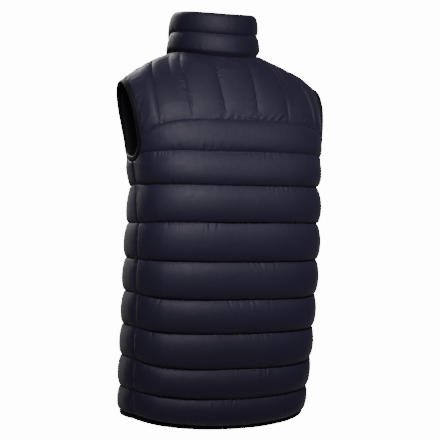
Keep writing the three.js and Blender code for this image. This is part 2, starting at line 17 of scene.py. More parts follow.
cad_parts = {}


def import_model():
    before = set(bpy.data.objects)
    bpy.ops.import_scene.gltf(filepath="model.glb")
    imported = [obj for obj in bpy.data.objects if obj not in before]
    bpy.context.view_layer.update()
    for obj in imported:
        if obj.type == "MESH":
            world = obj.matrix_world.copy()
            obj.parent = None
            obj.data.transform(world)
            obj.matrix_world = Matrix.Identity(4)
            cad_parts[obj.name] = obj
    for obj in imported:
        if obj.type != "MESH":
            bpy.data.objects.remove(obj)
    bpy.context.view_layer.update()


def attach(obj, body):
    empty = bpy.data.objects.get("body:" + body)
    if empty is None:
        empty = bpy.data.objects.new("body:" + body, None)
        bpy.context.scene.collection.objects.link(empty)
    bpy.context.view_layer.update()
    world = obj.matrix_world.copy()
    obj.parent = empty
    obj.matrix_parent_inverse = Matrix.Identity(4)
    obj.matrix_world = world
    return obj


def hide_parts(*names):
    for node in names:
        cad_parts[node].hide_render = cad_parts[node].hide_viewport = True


log = logging.getLogger("gilet")

MM = 0.001
CELL = 4
GARMENT = "garment"


# Small tools


def lerp(a: np.ndarray, b: np.ndarray, t: np.ndarray) -> np.ndarray:
    """Return the mix of a and b at t."""
    return a + (b - a) * t


def smoothstep(x: np.ndarray, low: float, high: float) -> np.ndarray:
    """Return 0 below low and 1 above high, with a soft rise between them."""
    t = np.clip((x - low) / (high - low), 0.0, 1.0)
    return t * t * (3 - 2 * t)


def unit(v: np.ndarray) -> np.ndarray:
    """Return the vectors of v, one in each row, at length 1."""
    return v / np.maximum(np.linalg.norm(v, axis=-1, keepdims=True), 1e-9)


def distances_along(points: np.ndarray) -> np.ndarray:
    """Return the distance along a line of points, up to each of them."""
    return np.concatenate([[0.0], np.cumsum(np.linalg.norm(np.diff(points, axis=0), axis=1))])


def hermite(a: np.ndarray, leave: np.ndarray, b: np.ndarray, arrive: np.ndarray, t: np.ndarray) -> np.ndarray:
    """Return the cubic curve from a to b with the given end tangents.

    Args:
        a: Start points.
        leave: Tangents at the start.
        b: End points.
        arrive: Tangents at the end.
        t: Part of the way, from 0 to 1.

    Returns:
        The points on the curves.
    """
    t2, t3 = t * t, t * t * t
    return (2 * t3 - 3 * t2 + 1) * a + (t3 - 2 * t2 + t) * leave + (3 * t2 - 2 * t3) * b + (t3 - t2) * arrive


class ClothNoise:
    """Smooth seeded noise from -1 to 1, the same on every run."""

    def __init__(self, seed: int) -> None:
        """Draw the lattice of random values."""
        self.lattice = np.random.default_rng(seed).uniform(-1, 1, (128, 128))

    def __call__(self, x: np.ndarray, y: np.ndarray | float = 0.0) -> np.ndarray:
        """Return the noise at x, y, with one bump for about each unit of length."""
        x, y = np.broadcast_arrays(np.asarray(x, float), np.asarray(y, float))
        i, j = np.floor(x).astype(int), np.floor(y).astype(int)
        u, v = x - i, y - j
        u, v = u * u * (3 - 2 * u), v * v * (3 - 2 * v)
        i0, i1, j0, j1 = i % 128, (i + 1) % 128, j % 128, (j + 1) % 128
        low = lerp(self.lattice[i0, j0], self.lattice[i1, j0], u)
        high = lerp(self.lattice[i0, j1], self.lattice[i1, j1], u)
        return lerp(low, high, v)


# The cut of the garment


@dataclass(frozen=True)
class Section:
    """One level section of the torso, in millimetres."""

    z: float
    half_width: float
    side: float
    back: float
    front: float
    back_square: float
    front_square: float


@dataclass(frozen=True)
class Level:
    """One level quilting seam: its height at the centre back and at the side, and how late it bends."""

    centre: float
    side: float
    bend: float


@dataclass
class TorsoForm:
    """The torso's surface, measured round from the centre back on each level."""

    sections: tuple[Section, ...] = (
        Section(-664, 166, -1, 82, -117, 2.4, 2.5),
        Section(-560, 170, 15, 106, -111, 2.5, 2.4),
        Section(-430, 170, 31, 127, -104, 2.7, 2.3),
        Section(-310, 169, 38, 140, -98, 2.9, 2.2),
        Section(-215, 166, 42, 143, -93, 3.0, 2.1),
        Section(-138, 180, 43, 133, -88, 2.8, 2.2),
        Section(-60, 192, 32, 112, -80, 2.6, 2.2),
    )
    steps: int = 240
    low: float = -690.0
    high: float = -50.0
    pitch: float = 2.0
    points: np.ndarray = field(init=False)
    lengths: np.ndarray = field(init=False)

    def __post_init__(self) -> None:
        """Work out the half outline of every level, with the distance along it."""
        levels = np.arange(self.low, self.high + self.pitch, self.pitch)
        angle = np.linspace(0, math.pi, self.steps + 1)
        behind = np.arange(self.steps + 1) <= self.steps // 2
        points = []
        for z in levels:
            s = {name: self.value(name, z) for name in Section.__dataclass_fields__ if name != "z"}
            power = 2 / np.where(behind, s["back_square"], s["front_square"])
            reach = np.where(behind, s["back"], s["front"]) - s["side"]
            x = s["half_width"] * np.clip(np.sin(angle), 0, 1) ** power
            y = s["side"] + reach * np.abs(np.cos(angle)) ** power
            points.append(np.stack([x, y], axis=1))
        self.points = np.array(points)
        steps = np.linalg.norm(np.diff(self.points, axis=1), axis=2)
        self.lengths = np.concatenate([np.zeros((len(levels), 1)), np.cumsum(steps, axis=1)], axis=1)

    def value(self, name: str, z: float) -> float:
        """Return a section value at a height, on a smooth curve through the table."""
        zs = [s.z for s in self.sections]
        values = [getattr(s, name) for s in self.sections]
        i = 0
        while i < len(zs) - 2 and z > zs[i + 1]:
            i += 1

        def slope(k: int) -> float:
            a, b = max(k - 1, 0), min(k + 1, len(zs) - 1)
            return (values[b] - values[a]) / (zs[b] - zs[a])

        span = zs[i + 1] - zs[i]
        t = (z - zs[i]) / span
        return float(hermite(values[i], slope(i) * span, values[i + 1], slope(i + 1) * span, t))

    def _level(self, z: np.ndarray) -> tuple[np.ndarray, np.ndarray]:
        """Return the table's row below each height, and the part of the way to the next row."""
        place = np.clip((z - self.low) / self.pitch, 0, len(self.points) - 1.001)
        row = np.floor(place).astype(int)
        return row, place - row

    def widest(self, z: np.ndarray) -> np.ndarray:
        """Return the distance from the centre back to the widest point, round the body."""
        row, t = self._level(z)
        half = self.steps // 2
        return lerp(self.lengths[row, half], self.lengths[row + 1, half], t)

    def total(self, z: np.ndarray) -> np.ndarray:
        """Return the distance from the centre back to the centre front, round the body."""
        row, t = self._level(z)
        return lerp(self.lengths[row, -1], self.lengths[row + 1, -1], t)

    def at(self, around: np.ndarray, z: np.ndarray) -> np.ndarray:
        """Return the surface's points.

        Args:
            around: Distances from the centre back, positive on the wearer's left.
            z: Heights.

        Returns:
            One point for each pair, in millimetres.
        """
        around, z = np.broadcast_arrays(np.asarray(around, float), np.asarray(z, float))
        shape = around.shape
        around, z = around.ravel(), z.ravel()
        row, t = self._level(z)
        low = self._on_row(row, np.abs(around))
        high = self._on_row(row + 1, np.abs(around))
        xy = lerp(low, high, t[:, None])
        xy[:, 0] *= np.where(around < 0, -1, 1)
        return np.concatenate([xy, z[:, None]], axis=1).reshape(*shape, 3)

    def _on_row(self, row: np.ndarray, distance: np.ndarray) -> np.ndarray:
        """Return the points at distances along the given rows of the table."""
        out = np.empty((len(row), 2))
        for r in np.unique(row):
            mine = row == r
            for k in (0, 1):
                out[mine, k] = np.interp(distance[mine], self.lengths[r], self.points[r, :, k])
        return out


@dataclass
class TopPath:
    """The upper edge of a yoke: half of the neckline and then the shoulder seam."""

    points: np.ndarray
    corner: int
    lengths: np.ndarray = field(init=False)

    def __post_init__(self) -> None:
        """Measure the path."""
        steps = np.linalg.norm(np.diff(self.points, axis=0), axis=1)
        self.lengths = np.concatenate([[0.0], np.cumsum(steps)])

    @property
    def neck(self) -> float:
        """Return the distance to the neck point."""
        return float(self.lengths[self.corner])

    @property
    def total(self) -> float:
        """Return the path's length."""
        return float(self.lengths[-1])

    def at(self, distance: np.ndarray) -> np.ndarray:
        """Return the points at distances along the path."""
        return np.stack([np.interp(distance, self.lengths, self.points[:, k]) for k in range(3)], axis=-1)


@dataclass
class Cut:
    """The garment's cut: where every seam and quilting line lies on the body."""

    torso: TorsoForm = field(default_factory=TorsoForm)
    levels: tuple[Level, ...] = (
        Level(-641, -622, 2.2),
        Level(-592, -577, 2.6),
        Level(-539, -521, 4),
        Level(-476, -465, 5),
        Level(-417, -406, 5),
        Level(-351, -347, 5),
        Level(-283, -285, 5),
        Level(-219, -222, 5),
        Level(-161, -164, 5),
    )
    back_yoke: float = -104.0
    front_yoke: float = -112.0
    bend_power: float = 5.0
    arm_top: float = -138.0
    arm_bottom: float = -177.0
    arm_offset: float = -5.0
    back_reach: float = 39.0
    front_reach: float = 66.0
    level_turn: float = 50.0
    side_offset: float = -30.0
    side_ease: float = -320.0
    zip_half: float = 6.0
    back_lines: tuple[tuple[float, float], ...] = ((30.5, 30.5), (91.5, 91.5), (152.5, 163.0))
    front_lines: tuple[tuple[float, float], ...] = ((55.0, 60.0), (108.0, 132.0))
    yoke_rows: int = 10
    neck_half: float = 80.0
    neck_centre: float = -12.0
    neck_back: float = 76.0
    neck_front: float = -76.0
    neck_angle: float = 85.0
    seam_rise: float = 0.55
    line_back: float = 11.0
    line_side: float = 23.0
    line_front: float = -37.0
    line_fall: float = 1.5
    shoulder: tuple[float, float, float] = (183.0, 17.0, -33.0)
    shoulder_arch: float = 5.0
    collar_half: float = 74.0
    collar_back: float = 70.0
    collar_front: float = -70.0
    collar_heights: tuple[float, float, float] = (79.0, 74.0, 71.0)
    collar_lift: float = 0.5
    collar_columns: int = 40
    collar_rows: int = 8
    back_top: TopPath = field(init=False)
    front_top: TopPath = field(init=False)

    def __post_init__(self) -> None:
        """Work out the yokes' upper edges and the places of their columns on them."""
        self.back_top = self._top(0.0)
        self.front_top = self._top(math.pi)
        back_stops = [0.0, *(above for _, above in self.back_lines), self.back_top.total]
        back_columns = [0, 2, 6, 10, 14]
        self.back_top_places = self._snapped(back_columns, back_stops, self.back_top)
        front_stops = [self.zip_half, *(above for _, above in self.front_lines), self.front_top.total]
        self.front_top_places = self._snapped([0, 4, 8, 12], front_stops, self.front_top)

    @staticmethod
    def _snapped(columns: Sequence[int], stops: Sequence[float], path: TopPath) -> np.ndarray:
        """Return each column's place on a yoke's upper edge, with one of them on the neck point."""
        places = np.interp(np.arange(columns[-1] + 1), columns, stops)
        places[np.argmin(np.abs(places - path.neck))] = path.neck
        return places

    @property
    def body_rows(self) -> int:
        """Return the number of rows of a body panel."""
        return len(self.levels) * CELL

    @property
    def underarm_row(self) -> int:
        """Return the row that ends at the lowest point of the armhole."""
        return self.body_rows - CELL - CELL // 2

    def row_level(self, row: np.ndarray, yoke: float, key: str) -> np.ndarray:
        """Return a column of the table of levels at the rows given."""
        knots = np.arange(len(self.levels) + 1) * CELL
        return np.interp(row, knots, [*(getattr(level, key) for level in self.levels), yoke])

    def row_end(self, row: np.ndarray, yoke: float, reach: float) -> tuple[np.ndarray, np.ndarray]:
        """Return where each row of a body panel ends.

        Args:
            row: The rows.
            yoke: Height of the yoke seam at the centre.
            reach: How far the armhole cuts into the panel, negative for the back.

        Returns:
            The heights, and the distances round the body.
        """
        level = self.row_level(row, yoke, "side")
        rise = np.clip((row - (self.underarm_row - CELL)) / CELL, 0, 1)
        seam_z = lerp(level, self.arm_bottom, rise**3)
        ease = smoothstep(seam_z, self.side_ease, self.arm_bottom)
        seam_around = self.torso.widest(seam_z) + lerp(self.side_offset, self.arm_offset, ease)
        top_row = self.body_rows - CELL
        turn = np.where(
            row <= top_row,
            self.level_turn * (row - self.underarm_row) / (top_row - self.underarm_row),
            lerp(self.level_turn, 90.0, (row - top_row) / CELL),
        )
        angle = np.radians(np.clip(turn, 0, 90))
        arm_z = self.arm_top + (self.arm_bottom - self.arm_top) * np.cos(angle)
        arm_around = self.torso.widest(arm_z) + self.arm_offset + reach * np.sin(angle)
        low = row <= self.underarm_row
        return np.where(low, seam_z, arm_z), np.where(low, seam_around, arm_around)

    def back(self, column: np.ndarray, row: np.ndarray) -> np.ndarray:
        """Return points of the back panel, whose columns run from the wearer's right to the left."""
        end_z, end = self.row_end(row, self.back_yoke, -self.back_reach)
        around = self._back_place(column, end)
        power = self.row_level(row, self.bend_power, "bend")
        bend = np.clip(np.abs(around / end), 0, 1) ** power
        return self.torso.at(around, lerp(self.row_level(row, self.back_yoke, "centre"), end_z, bend))

    def _back_place(self, column: np.ndarray, end: np.ndarray) -> np.ndarray:
        """Return the distances of the back's columns from the centre, below the yoke."""
        half = column - 14
        steps = np.abs(half)
        lines = [below for below, _ in self.back_lines]
        inner = np.interp(steps, [0, 2, 6, 10], [0.0, *lines])
        outer = lerp(lines[-1], end, np.clip((steps - 10) / 4, 0, 1))
        return np.where(steps <= 10, inner, outer) * np.where(half < 0, -1, 1)

    def _front_reach(self, column: np.ndarray, end: np.ndarray) -> np.ndarray:
        """Return the distances of a front's columns from the centre front, below the yoke."""
        lines = [below for below, _ in self.front_lines]
        inner = np.interp(column, [0, 4, 8], [self.zip_half, *lines])
        outer = lerp(lines[-1], end, np.clip((column - 8) / 4, 0, 1))
        return np.where(column <= 8, inner, outer)

    def front(self, column: np.ndarray, row: np.ndarray, side: int) -> np.ndarray:
        """Return points of a front panel, whose columns run from the zip to the side seam."""
        end_z, end = self.row_end(row, self.front_yoke, self.front_reach)
        end_reach = self.torso.total(end_z) - end
        reach = self._front_reach(column, end_reach)
        power = self.row_level(row, self.bend_power, "bend")
        z = lerp(self.row_level(row, self.front_yoke, "side"), end_z, np.clip(reach / end_reach, 0, 1) ** power)
        return self.torso.at(side * (self.torso.total(z) - reach), z)

    def neckline(self, angle: np.ndarray) -> np.ndarray:
        """Return points of the neck seam, by the angle from the centre back."""
        cos = np.cos(angle)
        height = np.where(
            cos > 0,
            lerp(self.line_side, self.line_back, cos * cos),
            lerp(self.line_side, self.line_front, np.maximum(-cos, 0) ** self.line_fall),
        )
        return self._ring(angle, self.neck_half, self.neck_back, self.neck_front, height)

    def _ring(self, angle: np.ndarray, half: float, back: float, front: float, z: np.ndarray) -> np.ndarray:
        """Return points of an oval round the neck."""
        cos = np.cos(angle)
        reach = np.where(cos > 0, back, -front)
        return np.stack([half * np.sin(angle), self.neck_centre + reach * cos, z + 0 * cos], axis=-1)

    def _top(self, start: float) -> TopPath:
        """Return a yoke's upper edge, from the centre back or the centre front to the shoulder's end."""
        steps = 48
        neck_point = math.radians(self.neck_angle)
        neck = self.neckline(np.linspace(start, neck_point, steps + 1))
        t = np.linspace(0, 1, steps + 1)[1:, None]
        seam = lerp(neck[-1], np.array(self.shoulder), t)
        seam[:, 2] += (4 * self.shoulder_arch * t * (1 - t))[:, 0]
        return TopPath(np.concatenate([neck, seam]), steps)

    def _yoke(
        self,
        around: np.ndarray,
        z: np.ndarray,
        above: np.ndarray,
        path: TopPath,
        forward: int,
        part: np.ndarray,
    ) -> np.ndarray:
        """Return points of a yoke.

        Args:
            around: Distances round the body where the columns start.
            z: Heights there.
            above: Distances along the yoke's upper edge where they end.
            path: The upper edge.
            forward: 1 where the columns arrive at the shoulder going back, -1 where they go forward.
            part: Part of the way up, from 0 to 1.

        Returns:
            The points.
        """
        mirror = np.where(around < 0, -1, 1)
        ahead = self.torso.at(around, z + 2) - self.torso.at(around, z - 2)
        start = self.torso.at(around, z)
        end = path.at(above)
        end[..., 0] *= mirror
        near_neck = smoothstep(1 - above / path.neck, 0, 1)
        level = lerp(1.0, 0.62, near_neck)
        rise = lerp(0.06, 0.78, near_neck)
        turn = math.radians(45) * np.minimum(above / path.neck, 1 - smoothstep(above, path.neck, path.total))
        arrive = np.stack(
            [-level * mirror * np.sin(turn), level * forward * np.cos(turn), rise + 0.5 * np.sin(turn)], axis=-1
        )
        length = np.linalg.norm(end - start, axis=-1, keepdims=True)
        return hermite(start, unit(ahead) * length * 0.9, end, unit(arrive) * length * 1.1, part[..., None])

    def back_yoke_at(self, column: np.ndarray, row: np.ndarray) -> np.ndarray:
        """Return points of the back yoke."""
        top = np.full_like(row, self.body_rows)
        end_z, end = self.row_end(top, self.back_yoke, -self.back_reach)
        around = self._back_place(column, end)
        z = lerp(self.back_yoke, end_z, np.abs(around / end) ** self.bend_power)
        above = np.interp(np.abs(column - 14), np.arange(15), self.back_top_places)
        return self._yoke(around, z, above, self.back_top, -1, row / self.yoke_rows)

    def front_yoke_at(self, column: np.ndarray, row: np.ndarray, side: int) -> np.ndarray:
        """Return points of a front yoke."""
        top = np.full_like(row, self.body_rows)
        end_z, end = self.row_end(top, self.front_yoke, self.front_reach)
        end_reach = self.torso.total(end_z) - end
        reach = self._front_reach(column, end_reach)
        z = lerp(self.front_yoke, end_z, (reach / end_reach) ** self.bend_power)
        above = np.interp(column, np.arange(13), self.front_top_places)
        around = side * (self.torso.total(z) - reach)
        return self._yoke(around, z, above, self.front_top, 1, row / self.yoke_rows)

    def collar(self, column: np.ndarray, row: np.ndarray) -> np.ndarray:
        """Return points of the collar, whose columns run round the neck from the zip to the zip."""
        end = math.pi - math.asin(self.zip_half / self.collar_half)
        angle = lerp(-end, end, column / self.collar_columns)
        cos = np.cos(angle)
        back, side, front = self.collar_heights
        height = lerp(side, np.where(cos > 0, back, front), cos * cos)
        low = self.neckline(angle)
        low[..., 2] += self.collar_lift
        high = self._ring(angle, self.collar_half, self.collar_back, self.collar_front, low[..., 2] + height)
        return lerp(low, high, (row / self.collar_rows)[..., None])


# Finishes


def linear(hex_colour: str) -> tuple[float, float, float, float]:
    """Return an sRGB hex colour as a linear one with alpha 1."""
    parts = [int(hex_colour[i : i + 2], 16) / 255 for i in (1, 3, 5)]
    turned = [p / 12.92 if p <= 0.04045 else ((p + 0.055) / 1.055) ** 2.4 for p in parts]
    return (*turned, 1.0)


def add_node(
    tree: bpy.types.NodeTree, kind: str, settings: dict | None = None, inputs: dict | None = None
) -> bpy.types.Node:
    """Add a node with its settings, values and links.

    Args:
        tree: The node tree.
        kind: The node's type name.
        settings: Attributes to set on it.
        inputs: Input names with a value, or with the socket that feeds them.

    Returns:
        The node.
    """
    node = tree.nodes.new(kind)
    for name, value in (settings or {}).items():
        setattr(node, name, value)
    for name, value in (inputs or {}).items():
        if isinstance(value, bpy.types.NodeSocket):
            tree.links.new(value, node.inputs[name])
        else:
            node.inputs[name].default_value = value
    return node


class Weave(Enum):
    """How a cloth's threads lie."""

    PLAIN = "plain"
    RIBBED = "ribbed"


@dataclass(frozen=True)
class ClothFinish:
    """A woven cloth, whose threads follow the piece's own UV map in metres."""

    name: str
    colour: str
    worn_colour: str
    roughness: float
    sheen: float
    thread_mm: float
    thread_relief_mm: float
    crinkle_mm: float
    crinkle_relief_mm: float
    shine: float = 0.35
    weave: Weave = Weave.PLAIN

    def build(self) -> bpy.types.Material:
        """Return the material."""
        material = bpy.data.materials.new(self.name)
        material.use_nodes = True
        tree = material.node_tree
        shader = tree.nodes["Principled BSDF"]
        shader.inputs["Sheen Weight"].default_value = self.sheen
        shader.inputs["Sheen Roughness"].default_value = 0.4
        shader.inputs["Specular IOR Level"].default_value = self.shine
        uv = add_node(tree, "ShaderNodeTexCoord").outputs["UV"]
        scale = 1000 / (self.thread_mm * 2)
        warp = self._threads(tree, uv, "X", scale)
        weft = self._threads(tree, uv, "Y", scale if self.weave is Weave.PLAIN else scale / 3)
        joined = add_node(tree, "ShaderNodeMath", {"operation": "MULTIPLY"}, {0: warp, 1: weft}).outputs[0]
        crinkle = add_node(
            tree,
            "ShaderNodeTexNoise",
            {},
            {"Vector": uv, "Scale": 1000 / self.crinkle_mm, "Detail": 3.0, "Roughness": 0.55, "Distortion": 0.6},
        ).outputs["Fac"]
        patches = add_node(
            tree, "ShaderNodeTexNoise", {}, {"Vector": uv, "Scale": 18.0, "Detail": 2.0}
        ).outputs["Fac"]
        tint = add_node(
            tree,
            "ShaderNodeMix",
            {"data_type": "RGBA"},
            {0: patches, 6: linear(self.colour), 7: linear(self.worn_colour)},
        ).outputs[2]
        tree.links.new(tint, shader.inputs["Base Color"])
        shine = add_node(
            tree,
            "ShaderNodeMapRange",
            {},
            {"Value": crinkle, "To Min": self.roughness - 0.06, "To Max": self.roughness + 0.08},
        ).outputs["Result"]
        tree.links.new(shine, shader.inputs["Roughness"])
        fine = add_node(
            tree, "ShaderNodeBump", {}, {"Height": joined, "Distance": self.thread_relief_mm * MM, "Strength": 0.6}
        ).outputs["Normal"]
        coarse = add_node(
            tree,
            "ShaderNodeBump",
            {},
            {"Height": crinkle, "Distance": self.crinkle_relief_mm * MM, "Strength": 1.0, "Normal": fine},
        ).outputs["Normal"]
        tree.links.new(coarse, shader.inputs["Normal"])
        return material

    @staticmethod
    def _threads(
        tree: bpy.types.NodeTree, uv: bpy.types.NodeSocket, direction: str, scale: float
    ) -> bpy.types.NodeSocket:
        """Return bands across one direction of the cloth, one for each thread."""
        settings = {"wave_type": "BANDS", "bands_direction": direction, "wave_profile": "SIN"}
        inputs = {"Vector": uv, "Scale": scale / 3.2, "Distortion": 0.25, "Detail": 1.0}
        return add_node(tree, "ShaderNodeTexWave", settings, inputs).outputs["Fac"]


# Down-proof nylon taffeta: a tight weave with a satin sheen that brightens where a channel turns up to
# the light. Its real threads are 0.1 mm apart, too fine to show, so they are drawn 0.8 mm apart.
SHELL_NYLON = ClothFinish(
    name="navy_nylon_taffeta",
    colour="#1d172f",
    worn_colour="#211b33",
    roughness=0.6,
    sheen=0.1,
    thread_mm=0.8,
    thread_relief_mm=0.02,
    crinkle_mm=9.0,
    crinkle_relief_mm=0.35,
)
# Thin polyester lining: duller, and nearly black in the real garment. Its colour is painted lighter than that, as
# painted light for what reaches the inside of the armholes and neck.
LINING_PAINTED_LIGHTER = ClothFinish(
    name="black_polyester_lining",
    colour="#33323d",
    worn_colour="#373641",
    roughness=0.6,
    sheen=0.05,
    thread_mm=0.8,
    thread_relief_mm=0.02,
    crinkle_mm=14.0,
    crinkle_relief_mm=0.3,
)
# Folded elastic binding: fine ribs across the strip, a soft dull shine.
BINDING_ELASTIC = ClothFinish(
    name="black_elastic_binding",
    colour="#0f0e16",
    worn_colour="#13121b",
    roughness=0.62,
    sheen=0.04,
    thread_mm=0.9,
    thread_relief_mm=0.12,
    crinkle_mm=6.0,
    crinkle_relief_mm=0.15,
    shine=0.15,
    weave=Weave.RIBBED,
)
# Polyester zip tape: a firm matt herringbone.
ZIP_TAPE = ClothFinish(
    name="black_zip_tape",
    colour="#131319",
    worn_colour="#17171e",
    roughness=0.7,
    sheen=0.08,
    thread_mm=0.7,
    thread_relief_mm=0.1,
    crinkle_mm=12.0,
    crinkle_relief_mm=0.1,
    weave=Weave.RIBBED,
)


@dataclass(frozen=True)
class HardFinish:
    """A moulded, spun or painted hard surface with a fine grain."""

    name: str
    colour: str
    roughness: float
    metallic: float
    grain_mm: float
    grain_relief_mm: float

    def build(self) -> bpy.types.Material:
        """Return the material."""
        material = bpy.data.materials.new(self.name)
        material.use_nodes = True
        tree = material.node_tree
        shader = tree.nodes["Principled BSDF"]
        shader.inputs["Base Color"].default_value = linear(self.colour)
        shader.inputs["Metallic"].default_value = self.metallic
        place = add_node(tree, "ShaderNodeTexCoord").outputs["Object"]
        grain = add_node(
            tree, "ShaderNodeTexNoise", {}, {"Vector": place, "Scale": 1000 / self.grain_mm, "Detail": 2.0}
        ).outputs["Fac"]
        shine = add_node(
            tree,
            "ShaderNodeMapRange",
            {},
            {"Value": grain, "To Min": self.roughness - 0.08, "To Max": self.roughness + 0.1},
        ).outputs["Result"]
        tree.links.new(shine, shader.inputs["Roughness"])
        bump = add_node(
            tree, "ShaderNodeBump", {}, {"Height": grain, "Distance": self.grain_relief_mm * MM}
        ).outputs["Normal"]
        tree.links.new(bump, shader.inputs["Normal"])
        return material


# Die-cast zinc under black enamel: satin, a little brighter on its edges.
ZIP_ENAMEL = HardFinish("black_enamelled_zinc", "#1d1d22", 0.38, 0.55, 1.6, 0.02)
# Moulded acetal teeth: smooth and slightly shiny.
ZIP_TEETH = HardFinish("black_moulded_acetal", "#17171b", 0.42, 0.0, 0.8, 0.01)
# Spun polyester sewing thread, twisted, so that its surface is dull. Its colour is darker than the shell's, as painted
# shade that keeps the seam grooves dark.
THREAD_WITH_GROOVE_SHADE = HardFinish("navy_polyester_thread", "#14141d", 0.68, 0.0, 0.5, 0.05)
# Matt painted studio floor.
FLOOR_PAINT = HardFinish("pale_floor_paint", "#dedede", 0.75, 0.0, 12.0, 0.02)


class Finishes:
    """Builds each finish once."""

    def __init__(self) -> None:
        """Start with none built."""
        self._built: dict[str, bpy.types.Material] = {}

    def get(self, finish: ClothFinish | HardFinish) -> bpy.types.Material:
        """Return the material of a finish."""
        if finish.name not in self._built:
            self._built[finish.name] = finish.build()
        return self._built[finish.name]


# Meshes


def to_object(bm: bmesh.types.BMesh, name: str, materials: Sequence[bpy.types.Material]) -> bpy.types.Object:
    """Return a new smooth-shaded object made from a bmesh, which is freed."""
    mesh = bpy.data.meshes.new(name)
    bm.to_mesh(mesh)
    bm.free()
    for material in materials:
        mesh.materials.append(material)
    mesh.polygons.foreach_set("use_smooth", np.ones(len(mesh.polygons), bool))
    obj = bpy.data.objects.new(name, mesh)
    bpy.context.scene.collection.objects.link(obj)
    return obj


def vertex_places(mesh: bpy.types.Mesh) -> np.ndarray:
    """Return the mesh's vertex positions, one in each row."""
    places = np.empty(len(mesh.vertices) * 3)
    mesh.vertices.foreach_get("co", places)
    return places.reshape(-1, 3)


def set_places(mesh: bpy.types.Mesh, places: np.ndarray) -> None:
    """Move the mesh's vertices to the given positions."""
    mesh.vertices.foreach_set("co", places.ravel())
    mesh.update()


def set_uv(mesh: bpy.types.Mesh, uv: np.ndarray) -> None:
    """Give the mesh a UV map from one pair of values for each vertex."""
    layer = mesh.uv_layers.new(name="cloth")
    corners = np.empty(len(mesh.loops), dtype=int)
    mesh.loops.foreach_get("vertex_index", corners)
    layer.data.foreach_set("uv", uv[corners].ravel())


def face_outwards(mesh: bpy.types.Mesh) -> None:
    """Turn a closed mesh's faces to point out."""
    bm = bmesh.new()
    bm.from_mesh(mesh)
    if bm.calc_volume(signed=True) < 0:
        bmesh.ops.reverse_faces(bm, faces=bm.faces)
        bm.to_mesh(mesh)
    bm.free()
    mesh.update()


def flat_shell(columns: int, rows: int) -> bmesh.types.BMesh:
    """Return a closed flat shell of two grids from 0 to 1, the outer at z 0 and the inner at z 1."""
    bm = bmesh.new()
    for layer in (0, 1):
        matrix = Matrix.Translation((0.5, 0.5, layer))
        bmesh.ops.create_grid(bm, x_segments=columns, y_segments=rows, size=0.5, matrix=matrix)
    rim = [edge for edge in bm.edges if edge.is_boundary]
    for edge in rim:
        edge.smooth = False
    bmesh.ops.bridge_loops(bm, edges=rim)
    bmesh.ops.recalc_face_normals(bm, faces=bm.faces)
    for face in bm.faces:
        face.material_index = int(all(vertex.co.z > 0.5 for vertex in face.verts))
    return bm


def swept_tube(name: str, along: int, round_steps: int, closed: bool, material: bpy.types.Material) -> bpy.types.Object:
    """Return a tube still laid flat: x runs from 0 to 1 along it and y from 0 to 1 round it.

    Args:
        name: The object's name.
        along: Steps along the tube.
        round_steps: Steps round it.
        closed: Whether its ends meet. Not used.
        material: Its material.

    Returns:
        The object, as an open grid. The ends and the seam are welded after it is bent.
    """
    bm = bmesh.new()
    matrix = Matrix.Translation((0.5, 0.5, 0))
    bmesh.ops.create_grid(bm, x_segments=along, y_segments=round_steps, size=0.5, matrix=matrix)
    return to_object(bm, name, [material])


def weld(obj: bpy.types.Object, close_ends: bool) -> None:
    """Merge a bent tube's touching edges, close its ends if asked, and turn its faces out."""
    bm = bmesh.new()
    bm.from_mesh(obj.data)
    bmesh.ops.remove_doubles(bm, verts=bm.verts, dist=1e-6)
    if close_ends:
        bmesh.ops.holes_fill(bm, edges=[edge for edge in bm.edges if edge.is_boundary], sides=0)
    bmesh.ops.recalc_face_normals(bm, faces=bm.faces)
    bm.to_mesh(obj.data)
    bm.free()
    obj.data.update()


def scattered(
    name: str,
    template: bmesh.types.BMesh,
    places: np.ndarray,
    axes: np.ndarray,
    material: bpy.types.Material,
) -> bpy.types.Object:
    """Return one mesh of many copies of a small shape.

    Args:
        name: The object's name.
        template: The small shape, in metres. It is freed.
        places: One position for each copy.
        axes: One 3 by 3 matrix for each copy, whose rows are where its X, Y and Z go.
        material: Its material.

    Returns:
        The object.
    """
    template.verts.ensure_lookup_table()
    points = np.array([vertex.co for vertex in template.verts])
    faces = [[vertex.index for vertex in face.verts] for face in template.faces]
    template.free()
    sizes = np.array([len(face) for face in faces])
    corners = np.concatenate(faces)
    count = len(places)
    vertices = np.einsum("pk,nkc->npc", points, axes) + places[:, None, :]
    mesh = bpy.data.meshes.new(name)
    mesh.vertices.add(count * len(points))
    mesh.vertices.foreach_set("co", vertices.ravel())
    mesh.loops.add(count * len(corners))
    offsets = np.repeat(np.arange(count) * len(points), len(corners))
    mesh.loops.foreach_set("vertex_index", np.tile(corners, count) + offsets)
    mesh.polygons.add(count * len(faces))
    starts = np.concatenate([[0], np.cumsum(np.tile(sizes, count))[:-1]])
    mesh.polygons.foreach_set("loop_start", starts)
    mesh.polygons.foreach_set("use_smooth", np.ones(len(mesh.polygons), bool))
    mesh.update(calc_edges=True)
    mesh.validate()
    mesh.materials.append(material)
    obj = bpy.data.objects.new(name, mesh)
    bpy.context.scene.collection.objects.link(obj)
    return obj


def grid_places(columns: int, rows: int) -> np.ndarray:
    """Return the vertex positions of a flat grid from 0 to 1, in the order of its vertices."""
    bm = bmesh.new()
    matrix = Matrix.Translation((0.5, 0.5, 0))
    bmesh.ops.create_grid(bm, x_segments=columns, y_segments=rows, size=0.5, matrix=matrix)
    places = np.array([vertex.co for vertex in bm.verts])
    bm.free()
    return places


def halfway_added(values: np.ndarray) -> np.ndarray:
    """Return rows of values with one more between each two, on a smooth curve through them."""
    padded = np.concatenate([2 * values[:1] - values[1:2], values, 2 * values[-1:] - values[-2:-1]])
    between = (9 * (padded[1:-2] + padded[2:-1]) - padded[:-3] - padded[3:]) / 16
    fine = np.empty((2 * len(values) - 1, *values.shape[1:]))
    fine[::2] = values
    fine[1::2] = between
    return fine


# Quilted panels


# How many times finer the finished cloth is along its channels than the simulated cloth.
DETAIL = 2
Surface = Callable[[np.ndarray, np.ndarray], np.ndarray]


